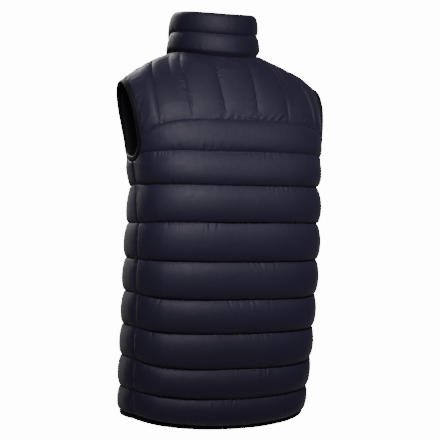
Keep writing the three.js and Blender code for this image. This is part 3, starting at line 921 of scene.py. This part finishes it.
@dataclass(frozen=True)
class Inflation:
    """Cloth simulation that blows the outer cloth up between its seams, which stay where they are sewn."""

    frames: int = 16
    quality: int = 6
    pressure: float = 6.0
    growth: float = 0.0
    stretch: float = 30.0
    bending: float = 0.3

    def settle(self, name: str, places: np.ndarray, steps: tuple[int, int], sewn: np.ndarray) -> np.ndarray:
        """Return where the cloth comes to rest.

        Args:
            name: The panel's name.
            places: Start positions of the grid's vertices, in metres.
            steps: The grid's steps across and up.
            sewn: Whether each vertex is held by a seam.

        Returns:
            The settled positions, in metres.
        """
        bm = bmesh.new()
        bmesh.ops.create_grid(bm, x_segments=steps[0], y_segments=steps[1], size=0.5)
        cloth = to_object(bm, f"{name}_cloth", [])
        set_places(cloth.data, places)
        seams = cloth.vertex_groups.new(name="seams")
        seams.add([int(i) for i in np.flatnonzero(sewn)], 1.0, "REPLACE")
        modifier = cloth.modifiers.new("inflation", "CLOTH")
        settings = modifier.settings
        settings.quality = self.quality
        settings.mass = 0.15
        settings.tension_stiffness = self.stretch
        settings.compression_stiffness = self.stretch
        settings.shear_stiffness = self.stretch / 3
        settings.bending_stiffness = self.bending
        settings.air_damping = 2.0
        settings.vertex_group_mass = seams.name
        settings.use_pressure = True
        settings.uniform_pressure_force = self.pressure
        settings.shrink_min = -self.growth
        settings.effector_weights.gravity = 0.0
        modifier.collision_settings.use_collision = False
        modifier.point_cache.frame_start = 1
        modifier.point_cache.frame_end = self.frames + 1
        scene = bpy.context.scene
        for frame in range(1, self.frames + 1):
            scene.frame_set(frame)
        depsgraph = bpy.context.evaluated_depsgraph_get()
        settled = vertex_places(cloth.evaluated_get(depsgraph).data)
        mesh = cloth.data
        bpy.data.objects.remove(cloth)
        bpy.data.meshes.remove(mesh)
        scene.frame_set(1)
        return settled


@dataclass
class QuiltedPanel:
    """One padded panel: a plain lining, and an outer cloth that the filling lifts between its seams."""

    name: str
    surface: Surface
    columns: int
    rows: int
    upright: bool
    flip: bool
    puff: float
    held: float
    channel_steps: int
    other_steps: int
    seed: int
    held_edges: tuple[str, ...]
    neck_row: int | None = None
    neck_columns: Callable[[np.ndarray], np.ndarray] | None = None
    cut: Cut = field(default_factory=Cut)
    inflation: Inflation = field(default_factory=Inflation)
    wall: float = 3.0
    edge_wall: float = 1.2
    edge_width: float = 7.0
    roundness: float = 2.2
    fullness: float = 0.66
    sag: float = 0.86
    pinch: float = 0.1
    side_fill: float = 0.0
    top_thinning: float = 0.0
    give: float = 1.2
    ripple: float = 0.06
    crease: float = 2.1
    lean: float = 0.6
    waver: float = 0.08

    def steps(self, detail: int = 1) -> tuple[int, int]:
        """Return the panel's grid steps across and up, with more along the channels for a higher detail."""
        channels = (self.columns if self.upright else self.rows) // CELL
        fine = channels * self.channel_steps
        along = self.other_steps * detail
        return (fine, along) if self.upright else (along, fine)

    def normals(self, column: np.ndarray, row: np.ndarray) -> np.ndarray:
        """Return the surface's outward directions."""
        step = 0.04
        c0, c1 = np.clip(column - step, 0, self.columns), np.clip(column + step, 0, self.columns)
        r0, r1 = np.clip(row - step, 0, self.rows), np.clip(row + step, 0, self.rows)
        across = self.surface(c1, row) - self.surface(c0, row)
        up = self.surface(column, r1) - self.surface(column, r0)
        normal = unit(np.cross(across, up)) * (-1 if self.flip else 1)
        if self.neck_columns is None:
            return normal
        point = self.surface(column, row)
        outward = np.stack([point[..., 0], point[..., 1] - self.cut.neck_centre, 0 * point[..., 0]], axis=-1)
        outward = unit(outward)
        outward[..., 2] = self.cut.seam_rise
        near = np.clip(1 - np.abs(row - self.neck_row), 0, 1) * self.neck_columns(column)
        return unit(lerp(normal, unit(outward), (near * near * (3 - 2 * near))[..., None]))

    def edge_distances(self, column: np.ndarray, row: np.ndarray) -> dict[str, np.ndarray]:
        """Return how far each point lies from each edge of the panel, in millimetres."""
        here = self.surface(column, row)
        ends = {
            "start": (0 * column, row),
            "end": (0 * column + self.columns, row),
            "bottom": (column, 0 * row),
            "top": (column, 0 * row + self.rows),
        }
        return {name: np.linalg.norm(here - self.surface(*place), axis=-1) for name, place in ends.items()}

    def sewn_height(self, edges: dict[str, np.ndarray]) -> np.ndarray:
        """Return the thickness of the cloth where a seam holds it, thinner towards the panel's edges."""
        nearest = np.minimum.reduce(list(edges.values()))
        return lerp(self.edge_wall, self.wall, smoothstep(nearest, 0, self.edge_width) ** 0.7)

    def channels(self, column: np.ndarray, row: np.ndarray) -> tuple[np.ndarray, np.ndarray]:
        """Return the channel's number, and the part of the way across it."""
        place = (column if self.upright else row) / CELL
        last = (self.columns if self.upright else self.rows) // CELL - 1
        cell = np.clip(np.floor(place + 1e-6), 0, last)
        return cell, np.clip(place - cell, 0, 1)

    def lift(self, column: np.ndarray, row: np.ndarray, edges: dict[str, np.ndarray]) -> np.ndarray:
        """Return how far the filling raises the outer cloth, in millimetres."""
        noise = ClothNoise(self.seed)
        cell, part = self.channels(column, row)
        part = part if self.upright else part**self.sag
        body = (1 - np.abs(2 * part - 1) ** self.roundness) ** self.fullness
        held = np.ones_like(body)
        underarm = self.cut.underarm_row
        least = self.pinch + self.side_fill * (1 - smoothstep(row, underarm - 2, underarm))
        for name in self.held_edges:
            held = np.minimum(held, np.minimum(1, least + edges[name] / self.held) ** 0.8)
        run = self.sheet_place(column, row)[..., 1 if self.upright else 0]
        uneven = 1 + self.waver * noise(run / 80, cell * 3.7) + 0.5 * self.waver * noise(run / 36, cell * 5.1)
        thinner = 1 - self.top_thinning * smoothstep(row / self.rows, 0.7, 0.95)
        return self.puff * body * held * uneven * thinner

    def ripples(self, column: np.ndarray, row: np.ndarray) -> np.ndarray:
        """Return the faint unevenness from which the simulated folds grow."""
        noise = ClothNoise(self.seed + 1)
        place = self.sheet_place(column, row)
        run, rise = (place[..., 1], place[..., 0]) if self.upright else (place[..., 0], place[..., 1])
        return self.ripple * (noise(run / 7, rise / 45) + noise(run / 16 + 40, rise / 60))

    def creases(self, column: np.ndarray, row: np.ndarray, edges: dict[str, np.ndarray]) -> np.ndarray:
        """Return the short sharp creases that start at the seams and at the panel's edges, in millimetres."""
        noise = ClothNoise(self.seed + 2)
        cell, _ = self.channels(column, row)
        place = self.sheet_place(column, row)
        across, up = (1, 0) if self.upright else (0, 1)
        run, rise = place[..., across], place[..., up]
        height = np.zeros_like(run)
        for side in (0, 1):
            seam = (cell + side) * CELL
            on_seam = self.sheet_place(seam, row) if self.upright else self.sheet_place(column, seam)
            distance = np.abs(rise - on_seam[..., up])
            salt = seam * 1.3 + side * 40
            patch = np.clip(4 * noise(run / 26 + salt, salt) - 0.3, 0, 1)
            height = height + patch * self._crease_row(noise, run, distance, salt)
        for number, (name, distance) in enumerate(edges.items()):
            along = place[..., 1 if name in ("start", "end") else 0]
            salt = 90.0 + 11 * number
            patch = np.clip(0.6 + 2.4 * noise(along / 30 + salt, salt), 0, 1.2)
            weight = 1.2 if name in self.held_edges else 0.5
            height = height + weight * patch * self._crease_row(noise, along, distance, salt)
        return self.crease * height

    def _crease_row(
        self, noise: ClothNoise, run: np.ndarray, distance: np.ndarray, salt: np.ndarray | float
    ) -> np.ndarray:
        """Return a row of narrow troughs that leave a seam, deepest a few millimetres from it."""
        slant = self.lean * noise(run / 60 + 3, salt) * distance
        wave = noise((run + slant) / 5.0, salt + 5 + distance / 60)
        trough = 0.3 - (1 - np.minimum(1, np.abs(wave) * 3)) ** 2
        reach = 9 + 5 * noise(run / 9 + 20, salt + 8)
        return trough * np.exp(-((distance / reach) ** 2)) * (1 - np.exp(-((distance / 2) ** 2)))

    def sheet_place(self, column: np.ndarray, row: np.ndarray) -> np.ndarray:
        """Return the place on the flat cloth, in millimetres across and up."""
        fine = np.linspace(0, self.columns, 8 * self.columns + 1)
        middle = self.surface(fine, np.full_like(fine, self.rows * 0.5))
        widths = distances_along(middle)
        tall = np.linspace(0, self.rows, 8 * self.rows + 1)
        spine = self.surface(np.full_like(tall, self.columns * 0.5), tall)
        rises = distances_along(spine)
        return np.stack([np.interp(column, fine, widths), np.interp(row, tall, rises)], axis=-1)

    def _cloth_places(self, flat: np.ndarray) -> tuple[np.ndarray, np.ndarray]:
        """Return the column and row of each grid vertex, closer together beside the channels' seams."""
        column = np.clip(flat[:, 0], 0, 1) * self.columns
        row = np.clip(flat[:, 1], 0, 1) * self.rows
        cell, part = self.channels(column, row)
        drawn = lerp(part, 0.5 - 0.5 * np.cos(math.pi * part), 0.45)
        place = (cell + drawn) * CELL
        return (place, row) if self.upright else (column, place)

    def build(self, finishes: Finishes) -> bpy.types.Object:
        """Return the panel as one closed padded shell."""
        shell = flat_shell(*self.steps(DETAIL))
        obj = to_object(shell, f"{self.name}_padded", [finishes.get(SHELL_NYLON), finishes.get(LINING_PAINTED_LIGHTER)])
        flat = vertex_places(obj.data)
        outer = flat[:, 2] < 0.5
        column, row = self._cloth_places(flat)
        places = self.surface(column, row)
        places[outer] += self._lifted(flat[outer], column[outer], row[outer])
        set_places(obj.data, places * MM)
        set_uv(obj.data, self.sheet_place(column, row) * MM)
        face_outwards(obj.data)
        obj.cycles.shadow_terminator_geometry_offset = 0.2
        obj.cycles.shadow_terminator_offset = 0.15
        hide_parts(self.name)
        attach(obj, GARMENT)
        log.info("%s: %d faces", obj.name, len(obj.data.polygons))
        return obj

    def _lifted(self, flat: np.ndarray, column: np.ndarray, row: np.ndarray) -> np.ndarray:
        """Return how far the outer cloth lies from the plain inner surface.

        Args:
            flat: Places on the flat fine grid, from 0 to 1.
            column: The grid's columns.
            row: The grid's rows.

        Returns:
            One offset for each vertex of the grid, in millimetres.
        """
        edges = self.edge_distances(column, row)
        normal = self.normals(column, row)
        offset = self._settled(flat)
        return offset + normal * self.creases(column, row, edges)[:, None]

    def _settled(self, fine: np.ndarray) -> np.ndarray:
        """Return the simulated cloth's offsets, in millimetres, at places on the fine grid."""
        steps = self.steps()
        flat = grid_places(*steps)
        column, row = self._cloth_places(flat)
        base, normal = self.surface(column, row), self.normals(column, row)
        edges = self.edge_distances(column, row)
        sewn_height, lift = self.sewn_height(edges), self.lift(column, row, edges)
        _, part = self.channels(column, row)
        rim = np.any((flat[:, :2] < 1e-5) | (flat[:, :2] > 1 - 1e-5), axis=1)
        sewn = rim | (np.minimum(part, 1 - part) < 1e-3)
        ripples = np.where(sewn, 0, self.ripples(column, row))
        start = base + normal * (sewn_height + 0.8 * lift + ripples)[:, None]
        settled = self.inflation.settle(self.name, start * MM, steps, sewn) / MM
        rise = np.einsum("ij,ij->i", settled - base, normal)
        rest = sewn_height + lift
        kept = rest + self.give * np.tanh((rise - rest) / self.give)
        settled += normal * (kept - rise)[:, None]
        settled[sewn] = start[sewn]
        index = np.rint(flat[:, :2] * steps).astype(int)
        grid = np.zeros((steps[0] + 1, steps[1] + 1, 3))
        grid[index[:, 0], index[:, 1]] = settled - base
        grid = halfway_added(grid.swapaxes(0, 1)).swapaxes(0, 1) if self.upright else halfway_added(grid)
        index = np.rint(fine[:, :2] * self.steps(DETAIL)).astype(int)
        return grid[index[:, 0], index[:, 1]]

    def seam_line(self, column: np.ndarray, row: np.ndarray) -> tuple[np.ndarray, np.ndarray]:
        """Return points on the outer cloth along a seam, and the outward directions there."""
        normal = self.normals(column, row)
        height = self.sewn_height(self.edge_distances(column, row))
        return self.surface(column, row) + normal * height[..., None], normal


@dataclass
class PaddedBody:
    """All the quilted panels of the gilet."""

    cut: Cut
    finishes: Finishes
    panels: dict[str, QuiltedPanel] = field(init=False)

    def __post_init__(self) -> None:
        """Lay out the panels."""
        cut = self.cut
        rows = cut.body_rows
        back_neck = cut.back_top.neck
        front_neck = cut.front_top.neck

        def on_back_neck(column: np.ndarray) -> np.ndarray:
            place = np.interp(np.abs(column - 14), np.arange(15), cut.back_top_places)
            return 1 - smoothstep(place, back_neck, back_neck + 8)

        def on_front_neck(column: np.ndarray) -> np.ndarray:
            place = np.interp(column, np.arange(13), cut.front_top_places)
            return 1 - smoothstep(place, front_neck, front_neck + 8)

        body = {"rows": rows, "upright": False, "cut": cut, "channel_steps": 20, "held_edges": ("start", "end")}
        yoke = {
            "rows": cut.yoke_rows,
            "upright": True,
            "cut": cut,
            "channel_steps": 20,
            "other_steps": 48,
            "puff": 4.2,
            "held": 34.0,
            "roundness": 2.8,
            "fullness": 0.54,
            "crease": 3.0,
            "wall": 1.7,
            "give": 0.7,
            "lean": 1.2,
            "neck_row": cut.yoke_rows,
            "held_edges": ("start", "end", "bottom", "top"),
        }
        panels = [
            QuiltedPanel(
                name="back", surface=cut.back, columns=28, flip=True, puff=12.5, held=80, other_steps=132,
                side_fill=0.25, top_thinning=0.35, seed=11, **body,
            ),
            QuiltedPanel(
                name="back_yoke", surface=cut.back_yoke_at, columns=28, flip=True, seed=23,
                neck_columns=on_back_neck, **yoke,
            ),
            QuiltedPanel(
                name="collar", surface=cut.collar, columns=cut.collar_columns, rows=cut.collar_rows,
                upright=False, flip=True, puff=5.5, held=16, channel_steps=16, other_steps=160, seed=61,
                held_edges=("start", "end"), neck_row=0, neck_columns=np.ones_like, cut=cut, crease=1.4,
            ),
        ]
        for label, side, seed in (("left", 1, 31), ("right", -1, 47)):
            panels.append(
                QuiltedPanel(
                    name=f"front_{label}", surface=lambda c, r, s=side: cut.front(c, r, s), columns=12,
                    flip=side < 0, puff=7.5, held=50, side_fill=0.45, other_steps=68, seed=seed,
                    **body,
                )
            )
            panels.append(
                QuiltedPanel(
                    name=f"front_yoke_{label}", surface=lambda c, r, s=side: cut.front_yoke_at(c, r, s),
                    columns=12, flip=side < 0, seed=seed + 5, neck_columns=on_front_neck, **yoke,
                )
            )
        self.panels = {panel.name: panel for panel in panels}

    def build(self) -> None:
        """Build every panel."""
        for panel in self.panels.values():
            panel.build(self.finishes)


# Bindings


@dataclass
class FoldedBinding:
    """A strip of elastic folded over a raw edge, drawn along a path of points with normals."""

    name: str
    points: np.ndarray
    normals: np.ndarray
    hand: int
    closed: bool
    width: float
    thickness: float
    seed: int
    overlap: float = 1.0
    gather: float = 0.08
    step: float = 3.0
    round_steps: int = 14

    def _resampled(self) -> tuple[np.ndarray, np.ndarray, np.ndarray]:
        """Return evenly spaced points, normals and the distance along them."""
        points, normals = self.points, self.normals
        if self.closed:
            points = np.concatenate([points, points[:1]])
            normals = np.concatenate([normals, normals[:1]])
        lengths = distances_along(points)
        count = int(lengths[-1] / self.step)
        run = np.linspace(0, lengths[-1], count + 1)
        places = np.stack([np.interp(run, lengths, points[:, k]) for k in range(3)], axis=1)
        directions = np.stack([np.interp(run, lengths, normals[:, k]) for k in range(3)], axis=1)
        for _ in range(6):
            places = self._softened(places)
            directions = self._softened(directions)
        return places, unit(directions), run

    def _softened(self, values: np.ndarray) -> np.ndarray:
        """Return values with each moved a little towards its neighbours."""
        if self.closed:
            ring = values[:-1]
            soft = 0.5 * ring + 0.25 * (np.roll(ring, 1, 0) + np.roll(ring, -1, 0))
            return np.concatenate([soft, soft[:1]])
        soft = values.copy()
        soft[1:-1] = 0.5 * values[1:-1] + 0.25 * (values[:-2] + values[2:])
        return soft

    def build(self, finishes: Finishes) -> bpy.types.Object:
        """Return the binding."""
        places, normals, run = self._resampled()
        count = len(run) - 1
        obj = swept_tube(f"{self.name}_folded", count, self.round_steps, self.closed, finishes.get(BINDING_ELASTIC))
        flat = vertex_places(obj.data)
        index = np.clip(np.rint(flat[:, 0] * count).astype(int), 0, count)
        turn = flat[:, 1] * 2 * math.pi
        if self.closed:
            tangent = np.roll(places[:-1], -1, 0) - np.roll(places[:-1], 1, 0)
            tangent = np.concatenate([tangent, tangent[:1]])
        else:
            tangent = np.gradient(places, axis=0)
        tangent = unit(tangent)
        across = unit(np.cross(normals, tangent)) * self.hand
        noise = ClothNoise(self.seed)
        cycle = run if not self.closed else run[-1] * (0.5 - np.abs(run / run[-1] - 0.5)) * 2
        ripple = 1 + self.gather * noise(cycle / 4.0) * 0.5
        half_w = (self.width + self.overlap) / 2
        half_t = self.thickness / 2
        square = 2 / 3.2
        u = half_w * np.sign(np.cos(turn)) * np.abs(np.cos(turn)) ** square
        v = half_t * np.sign(np.sin(turn)) * np.abs(np.sin(turn)) ** square * ripple[index]
        middle = self.width / 2 - self.overlap / 2
        height = 1.5 + 0.25 * noise(cycle / 22 + 9)[index]
        out = places[index] + across[index] * (middle + u)[:, None] + normals[index] * (height + v)[:, None]
        set_places(obj.data, out * MM)
        round_length = 2 * (self.width + self.thickness)
        set_uv(obj.data, np.stack([run[index], flat[:, 1] * round_length], axis=1) * MM)
        weld(obj, close_ends=not self.closed)
        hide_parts(self.name)
        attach(obj, GARMENT)
        log.info("%s: %d faces", obj.name, len(obj.data.polygons))
        return obj


@dataclass
class Bindings:
    """The strips round the armholes and the hem."""

    body: PaddedBody
    finishes: Finishes

    def _edge(self, name: str, columns: np.ndarray, rows: np.ndarray) -> tuple[np.ndarray, np.ndarray]:
        """Return points and normals along an edge of a panel."""
        panel = self.body.panels[name]
        return panel.surface(columns, rows), panel.normals(columns, rows)

    def build(self) -> None:
        """Build the three strips."""
        cut = self.body.cut
        low, high = cut.underarm_row, cut.body_rows
        rising = np.linspace(low, high, 25)
        yoke = np.linspace(0, cut.yoke_rows, 41)
        for label, side in (("left", 1), ("right", -1)):
            back_column = 28.0 if side > 0 else 0.0
            edges = [
                self._edge("back", np.full_like(rising, back_column), rising),
                self._edge("back_yoke", np.full_like(yoke[1:], back_column), yoke[1:]),
                self._edge(f"front_yoke_{label}", np.full_like(yoke[1:], 12.0), yoke[::-1][1:]),
                self._edge(f"front_{label}", np.full_like(rising[1:-1], 12.0), rising[::-1][1:-1]),
            ]
            FoldedBinding(
                name=f"armhole_binding_{label}",
                points=np.concatenate([points for points, _ in edges]),
                normals=np.concatenate([normals for _, normals in edges]),
                hand=side, closed=True, width=9.0, thickness=5.0, seed=71 + side,
            ).build(self.finishes)
        across = np.linspace(0, 12, 49)
        round_back = np.linspace(28, 0, 113)
        edges = [
            self._edge("front_left", across[:-1], np.zeros(48)),
            self._edge("back", round_back, np.zeros(113)),
            self._edge("front_right", across[::-1][1:], np.zeros(48)),
        ]
        FoldedBinding(
            name="hem_binding",
            points=np.concatenate([points for points, _ in edges]),
            normals=np.concatenate([normals for _, normals in edges]),
            hand=-1, closed=False, width=8.0, thickness=5.0, seed=83,
        ).build(self.finishes)


# Stitching


@dataclass
class Stitching:
    """The lockstitch along every quilting seam."""

    body: PaddedBody
    finishes: Finishes
    pitch: float = 3.4
    stitch: float = 2.5
    thread: float = 0.55

    def _template(self) -> bmesh.types.BMesh:
        """Return one stitch that lies along X, in metres."""
        bm = bmesh.new()
        bmesh.ops.create_icosphere(bm, subdivisions=1, radius=0.5)
        size = Vector((self.stitch, self.thread, self.thread)) * MM
        bmesh.ops.scale(bm, vec=size, verts=bm.verts)
        return bm

    def _lines(self, panel: QuiltedPanel) -> list[tuple[np.ndarray, np.ndarray]]:
        """Return each quilting seam of a panel as columns and rows."""
        lines = []
        if panel.upright:
            for column in range(CELL, panel.columns, CELL):
                rows = np.linspace(0.1, panel.rows - 0.1, 220)
                lines.append((np.full_like(rows, column), rows))
            return lines
        for row in range(CELL, panel.rows, CELL):
            columns = np.linspace(0.1, panel.columns - 0.1, 600)
            lines.append((columns, np.full_like(columns, row)))
        return lines

    def build(self) -> None:
        """Sew every panel."""
        for name, panel in self.body.panels.items():
            places, axes = [], []
            for column, row in self._lines(panel):
                points, normals = panel.seam_line(column, row)
                lengths = distances_along(points)
                run = np.arange(self.pitch, lengths[-1] - self.pitch, self.pitch)
                spots = np.stack([np.interp(run, lengths, points[:, k]) for k in range(3)], axis=1)
                outs = unit(np.stack([np.interp(run, lengths, normals[:, k]) for k in range(3)], axis=1))
                ahead = unit(np.gradient(spots, axis=0))
                side = unit(np.cross(outs, ahead))
                places.append((spots + outs * 0.1) * MM)
                axes.append(np.stack([ahead, side, outs], axis=1))
            obj = scattered(
                f"{name}_stitches",
                self._template(),
                np.concatenate(places),
                np.concatenate(axes),
                self.finishes.get(THREAD_WITH_GROOVE_SHADE),
            )
            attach(obj, GARMENT)
            log.info("%s: %d stitches", obj.name, sum(len(group) for group in places))


# Zip


@dataclass
class FrontZip:
    """The tapes and teeth between the fronts, and the finish of the slider, pull and box."""

    cut: Cut
    finishes: Finishes
    gap: float = 0.25
    tape_low: float = 0.8
    tape_thickness: float = 1.4
    tooth_pitch: float = 2.6
    tooth: tuple[float, float, float] = (2.5, 1.5, 1.5)

    def _path(self, side: int) -> tuple[np.ndarray, np.ndarray]:
        """Return the centre front from the hem to the top of the collar, with its outward directions."""
        cut = self.cut
        body = np.linspace(0, cut.body_rows, 150)
        yoke = np.linspace(0, cut.yoke_rows, 30)[1:]
        neck = np.linspace(0, cut.collar_rows, 30)[1:]
        column = cut.collar_columns if side > 0 else 0
        points = np.concatenate([
            cut.front(0 * body, body, side),
            cut.front_yoke_at(0 * yoke, yoke, side),
            cut.collar(0 * neck + column, neck),
        ])
        points[:, 0] = 0
        for _ in range(3):
            points[1:-1] = 0.5 * points[1:-1] + 0.25 * (points[:-2] + points[2:])
        up = unit(np.gradient(points, axis=0))
        out = np.stack([0 * up[:, 0], -up[:, 2], up[:, 1]], axis=1)
        return points, out

    def build(self) -> None:
        """Build the tapes and teeth, and give the hard pieces their finish."""
        for label, side in (("left", 1), ("right", -1)):
            points, out = self._path(side)
            self._tape(label, side, points, out)
            self._teeth(label, side, points, out)
        enamel = self.finishes.get(ZIP_ENAMEL)
        for node in ("zip_slider", "zip_pull", "zip_box"):
            obj = bpy.data.objects[node]
            for slot in obj.material_slots:
                slot.material = enamel

    def _tape(self, label: str, side: int, points: np.ndarray, out: np.ndarray) -> None:
        """Build one tape as a closed strip with rounded edges."""
        count = 220
        obj = swept_tube(f"zip_tape_{label}_woven", count, 12, False, self.finishes.get(ZIP_TAPE))
        flat = vertex_places(obj.data)
        place = flat[:, 0] * (len(points) - 1)
        index = np.arange(len(points))
        spot = np.stack([np.interp(place, index, points[:, k]) for k in range(3)], axis=1)
        way = unit(np.stack([np.interp(place, index, out[:, k]) for k in range(3)], axis=1))
        turn = flat[:, 1] * 2 * math.pi
        half = (self.cut.zip_half - self.gap + 0.5) / 2
        u = half * np.sign(np.cos(turn)) * np.abs(np.cos(turn)) ** 0.5
        v = self.tape_thickness / 2 * np.sign(np.sin(turn)) * np.abs(np.sin(turn)) ** 0.5
        spot[:, 0] += side * (self.gap + half + u)
        spot += way * (self.tape_low + self.tape_thickness / 2 + v)[:, None]
        set_places(obj.data, spot * MM)
        set_uv(obj.data, np.stack([flat[:, 0] * 740, flat[:, 1] * 14], axis=1) * MM)
        weld(obj, close_ends=True)
        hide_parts(f"zip_tape_{label}")
        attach(obj, GARMENT)

    def _teeth(self, label: str, side: int, points: np.ndarray, out: np.ndarray) -> None:
        """Build one row of moulded teeth, which mesh with the other row at the centre."""
        lengths = distances_along(points)
        shift = 0 if side > 0 else self.tooth_pitch / 2
        run = np.arange(12.2 + shift, lengths[-1] - 24, self.tooth_pitch)
        spots = np.stack([np.interp(run, lengths, points[:, k]) for k in range(3)], axis=1)
        outs = unit(np.stack([np.interp(run, lengths, out[:, k]) for k in range(3)], axis=1))
        length, height, depth = self.tooth
        spots[:, 0] += side * (length / 2 - 0.45)
        spots += outs * (self.tape_low + self.tape_thickness / 2)
        ups = np.cross(outs, np.array([1.0, 0, 0]))
        bm = bmesh.new()
        bmesh.ops.create_cube(bm, size=1.0)
        bmesh.ops.scale(bm, vec=Vector((length, depth + self.tape_thickness, height)) * MM, verts=bm.verts)
        edges = list(bm.edges)
        bmesh.ops.bevel(
            bm, geom=edges, offset=0.0004, segments=1, profile=0.5, affect="EDGES", material=-1
        )
        axes = np.stack([np.tile([1.0, 0, 0], (len(run), 1)), outs, ups], axis=1)
        obj = scattered(f"zip_teeth_{label}", bm, spots * MM, axes, self.finishes.get(ZIP_TEETH))
        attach(obj, GARMENT)
        log.info("%s: %d teeth", obj.name, len(run))


# Studio


@dataclass
class Studio:
    """The floor, the light and the camera."""

    finishes: Finishes
    azimuth: float = 157.0
    distance: float = 2.5
    mm_per_pixel: float = 1.83
    centre_height: float = -0.279
    shift_pixels: float = 6.0
    roll: float = 0.5
    floor_height: float = -1.45

    def build(self) -> None:
        """Build the studio round the garment."""
        self._floor()
        self._world()
        self._lamp("key_softbox", (0.26, 1.3, 0.6), (0, 0, -0.27), (1.9, 0.5), 5.2, 48)
        self._lamp("overhead_softbox", (0.1, 0.9, 1.9), (0, 0, -0.25), (1.2, 1.2), 0.15, 50)
        self._lamp("front_softbox", (0.4, -1.9, 1.1), (0, 0, -0.3), (1.2, 1.2), 26, 120)
        self._camera()

    def _floor(self) -> None:
        """Lay a plain pale floor."""
        bm = bmesh.new()
        bmesh.ops.create_circle(bm, cap_ends=True, radius=2.6, segments=64)
        floor = to_object(bm, "studio_floor", [self.finishes.get(FLOOR_PAINT)])
        places = vertex_places(floor.data)
        places[:, 2] = self.floor_height
        set_places(floor.data, places)

    def _world(self) -> None:
        """Surround the scene with white that lights it softly."""
        world = bpy.data.worlds.new("white_studio")
        bpy.context.scene.world = world
        world.use_nodes = True
        tree = world.node_tree
        tree.nodes.clear()
        seen = add_node(tree, "ShaderNodeBackground", {}, {"Color": (1, 1, 1, 1), "Strength": 14.0})
        fill = add_node(tree, "ShaderNodeBackground", {}, {"Color": (0.94, 0.96, 1, 1), "Strength": 0.07})
        path = add_node(tree, "ShaderNodeLightPath")
        mix = add_node(
            tree,
            "ShaderNodeMixShader",
            {},
            {0: path.outputs["Is Camera Ray"], 1: fill.outputs[0], 2: seen.outputs[0]},
        )
        add_node(tree, "ShaderNodeOutputWorld", {}, {"Surface": mix.outputs[0]})

    @staticmethod
    def _lamp(
        name: str,
        place: tuple[float, float, float],
        aim: tuple[float, float, float],
        size: tuple[float, float],
        power: float,
        spread: float,
    ) -> None:
        """Hang one softbox that looks at a point.

        Args:
            name: The lamp's name.
            place: Where it hangs, in metres.
            aim: The point that it faces.
            size: Its width and height, in metres.
            power: Its power, in watts.
            spread: How wide its light spreads, in degrees.
        """
        data = bpy.data.lights.new(name, "AREA")
        data.shape = "RECTANGLE"
        data.size, data.size_y = size
        data.energy = power
        data.spread = math.radians(spread)
        lamp = bpy.data.objects.new(name, data)
        lamp.location = place
        lamp.visible_camera = False
        lamp.rotation_euler = (Vector(aim) - Vector(place)).to_track_quat("-Z", "Y").to_euler()
        bpy.context.scene.collection.objects.link(lamp)

    def _camera(self) -> None:
        """Set the camera behind the garment, a little to the wearer's left."""
        data = bpy.data.cameras.new("camera")
        data.sensor_width = 36.0
        data.lens = 36.0 * self.distance / (440 * self.mm_per_pixel * MM)
        data.shift_x = self.shift_pixels / 440
        camera = bpy.data.objects.new("camera", data)
        angle = math.radians(self.azimuth)
        back = Vector((math.sin(angle), -math.cos(angle), 0))
        camera.location = Vector((0, 0, self.centre_height)) + back * self.distance
        aim = back.to_track_quat("Z", "Y").to_matrix().to_4x4()
        turned = aim @ Matrix.Rotation(math.radians(self.roll), 4, "Z")
        camera.rotation_euler = turned.to_euler()
        bpy.context.scene.collection.objects.link(camera)
        bpy.context.scene.camera = camera


def main() -> None:
    """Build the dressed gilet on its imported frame."""
    logging.basicConfig(level=logging.INFO, format="%(name)s: %(message)s")
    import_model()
    finishes = Finishes()
    cut = Cut()
    Studio(finishes).build()
    body = PaddedBody(cut, finishes)
    body.build()
    Bindings(body, finishes).build()
    Stitching(body, finishes).build()
    FrontZip(cut, finishes).build()


if __name__ == "__main__":
    main()
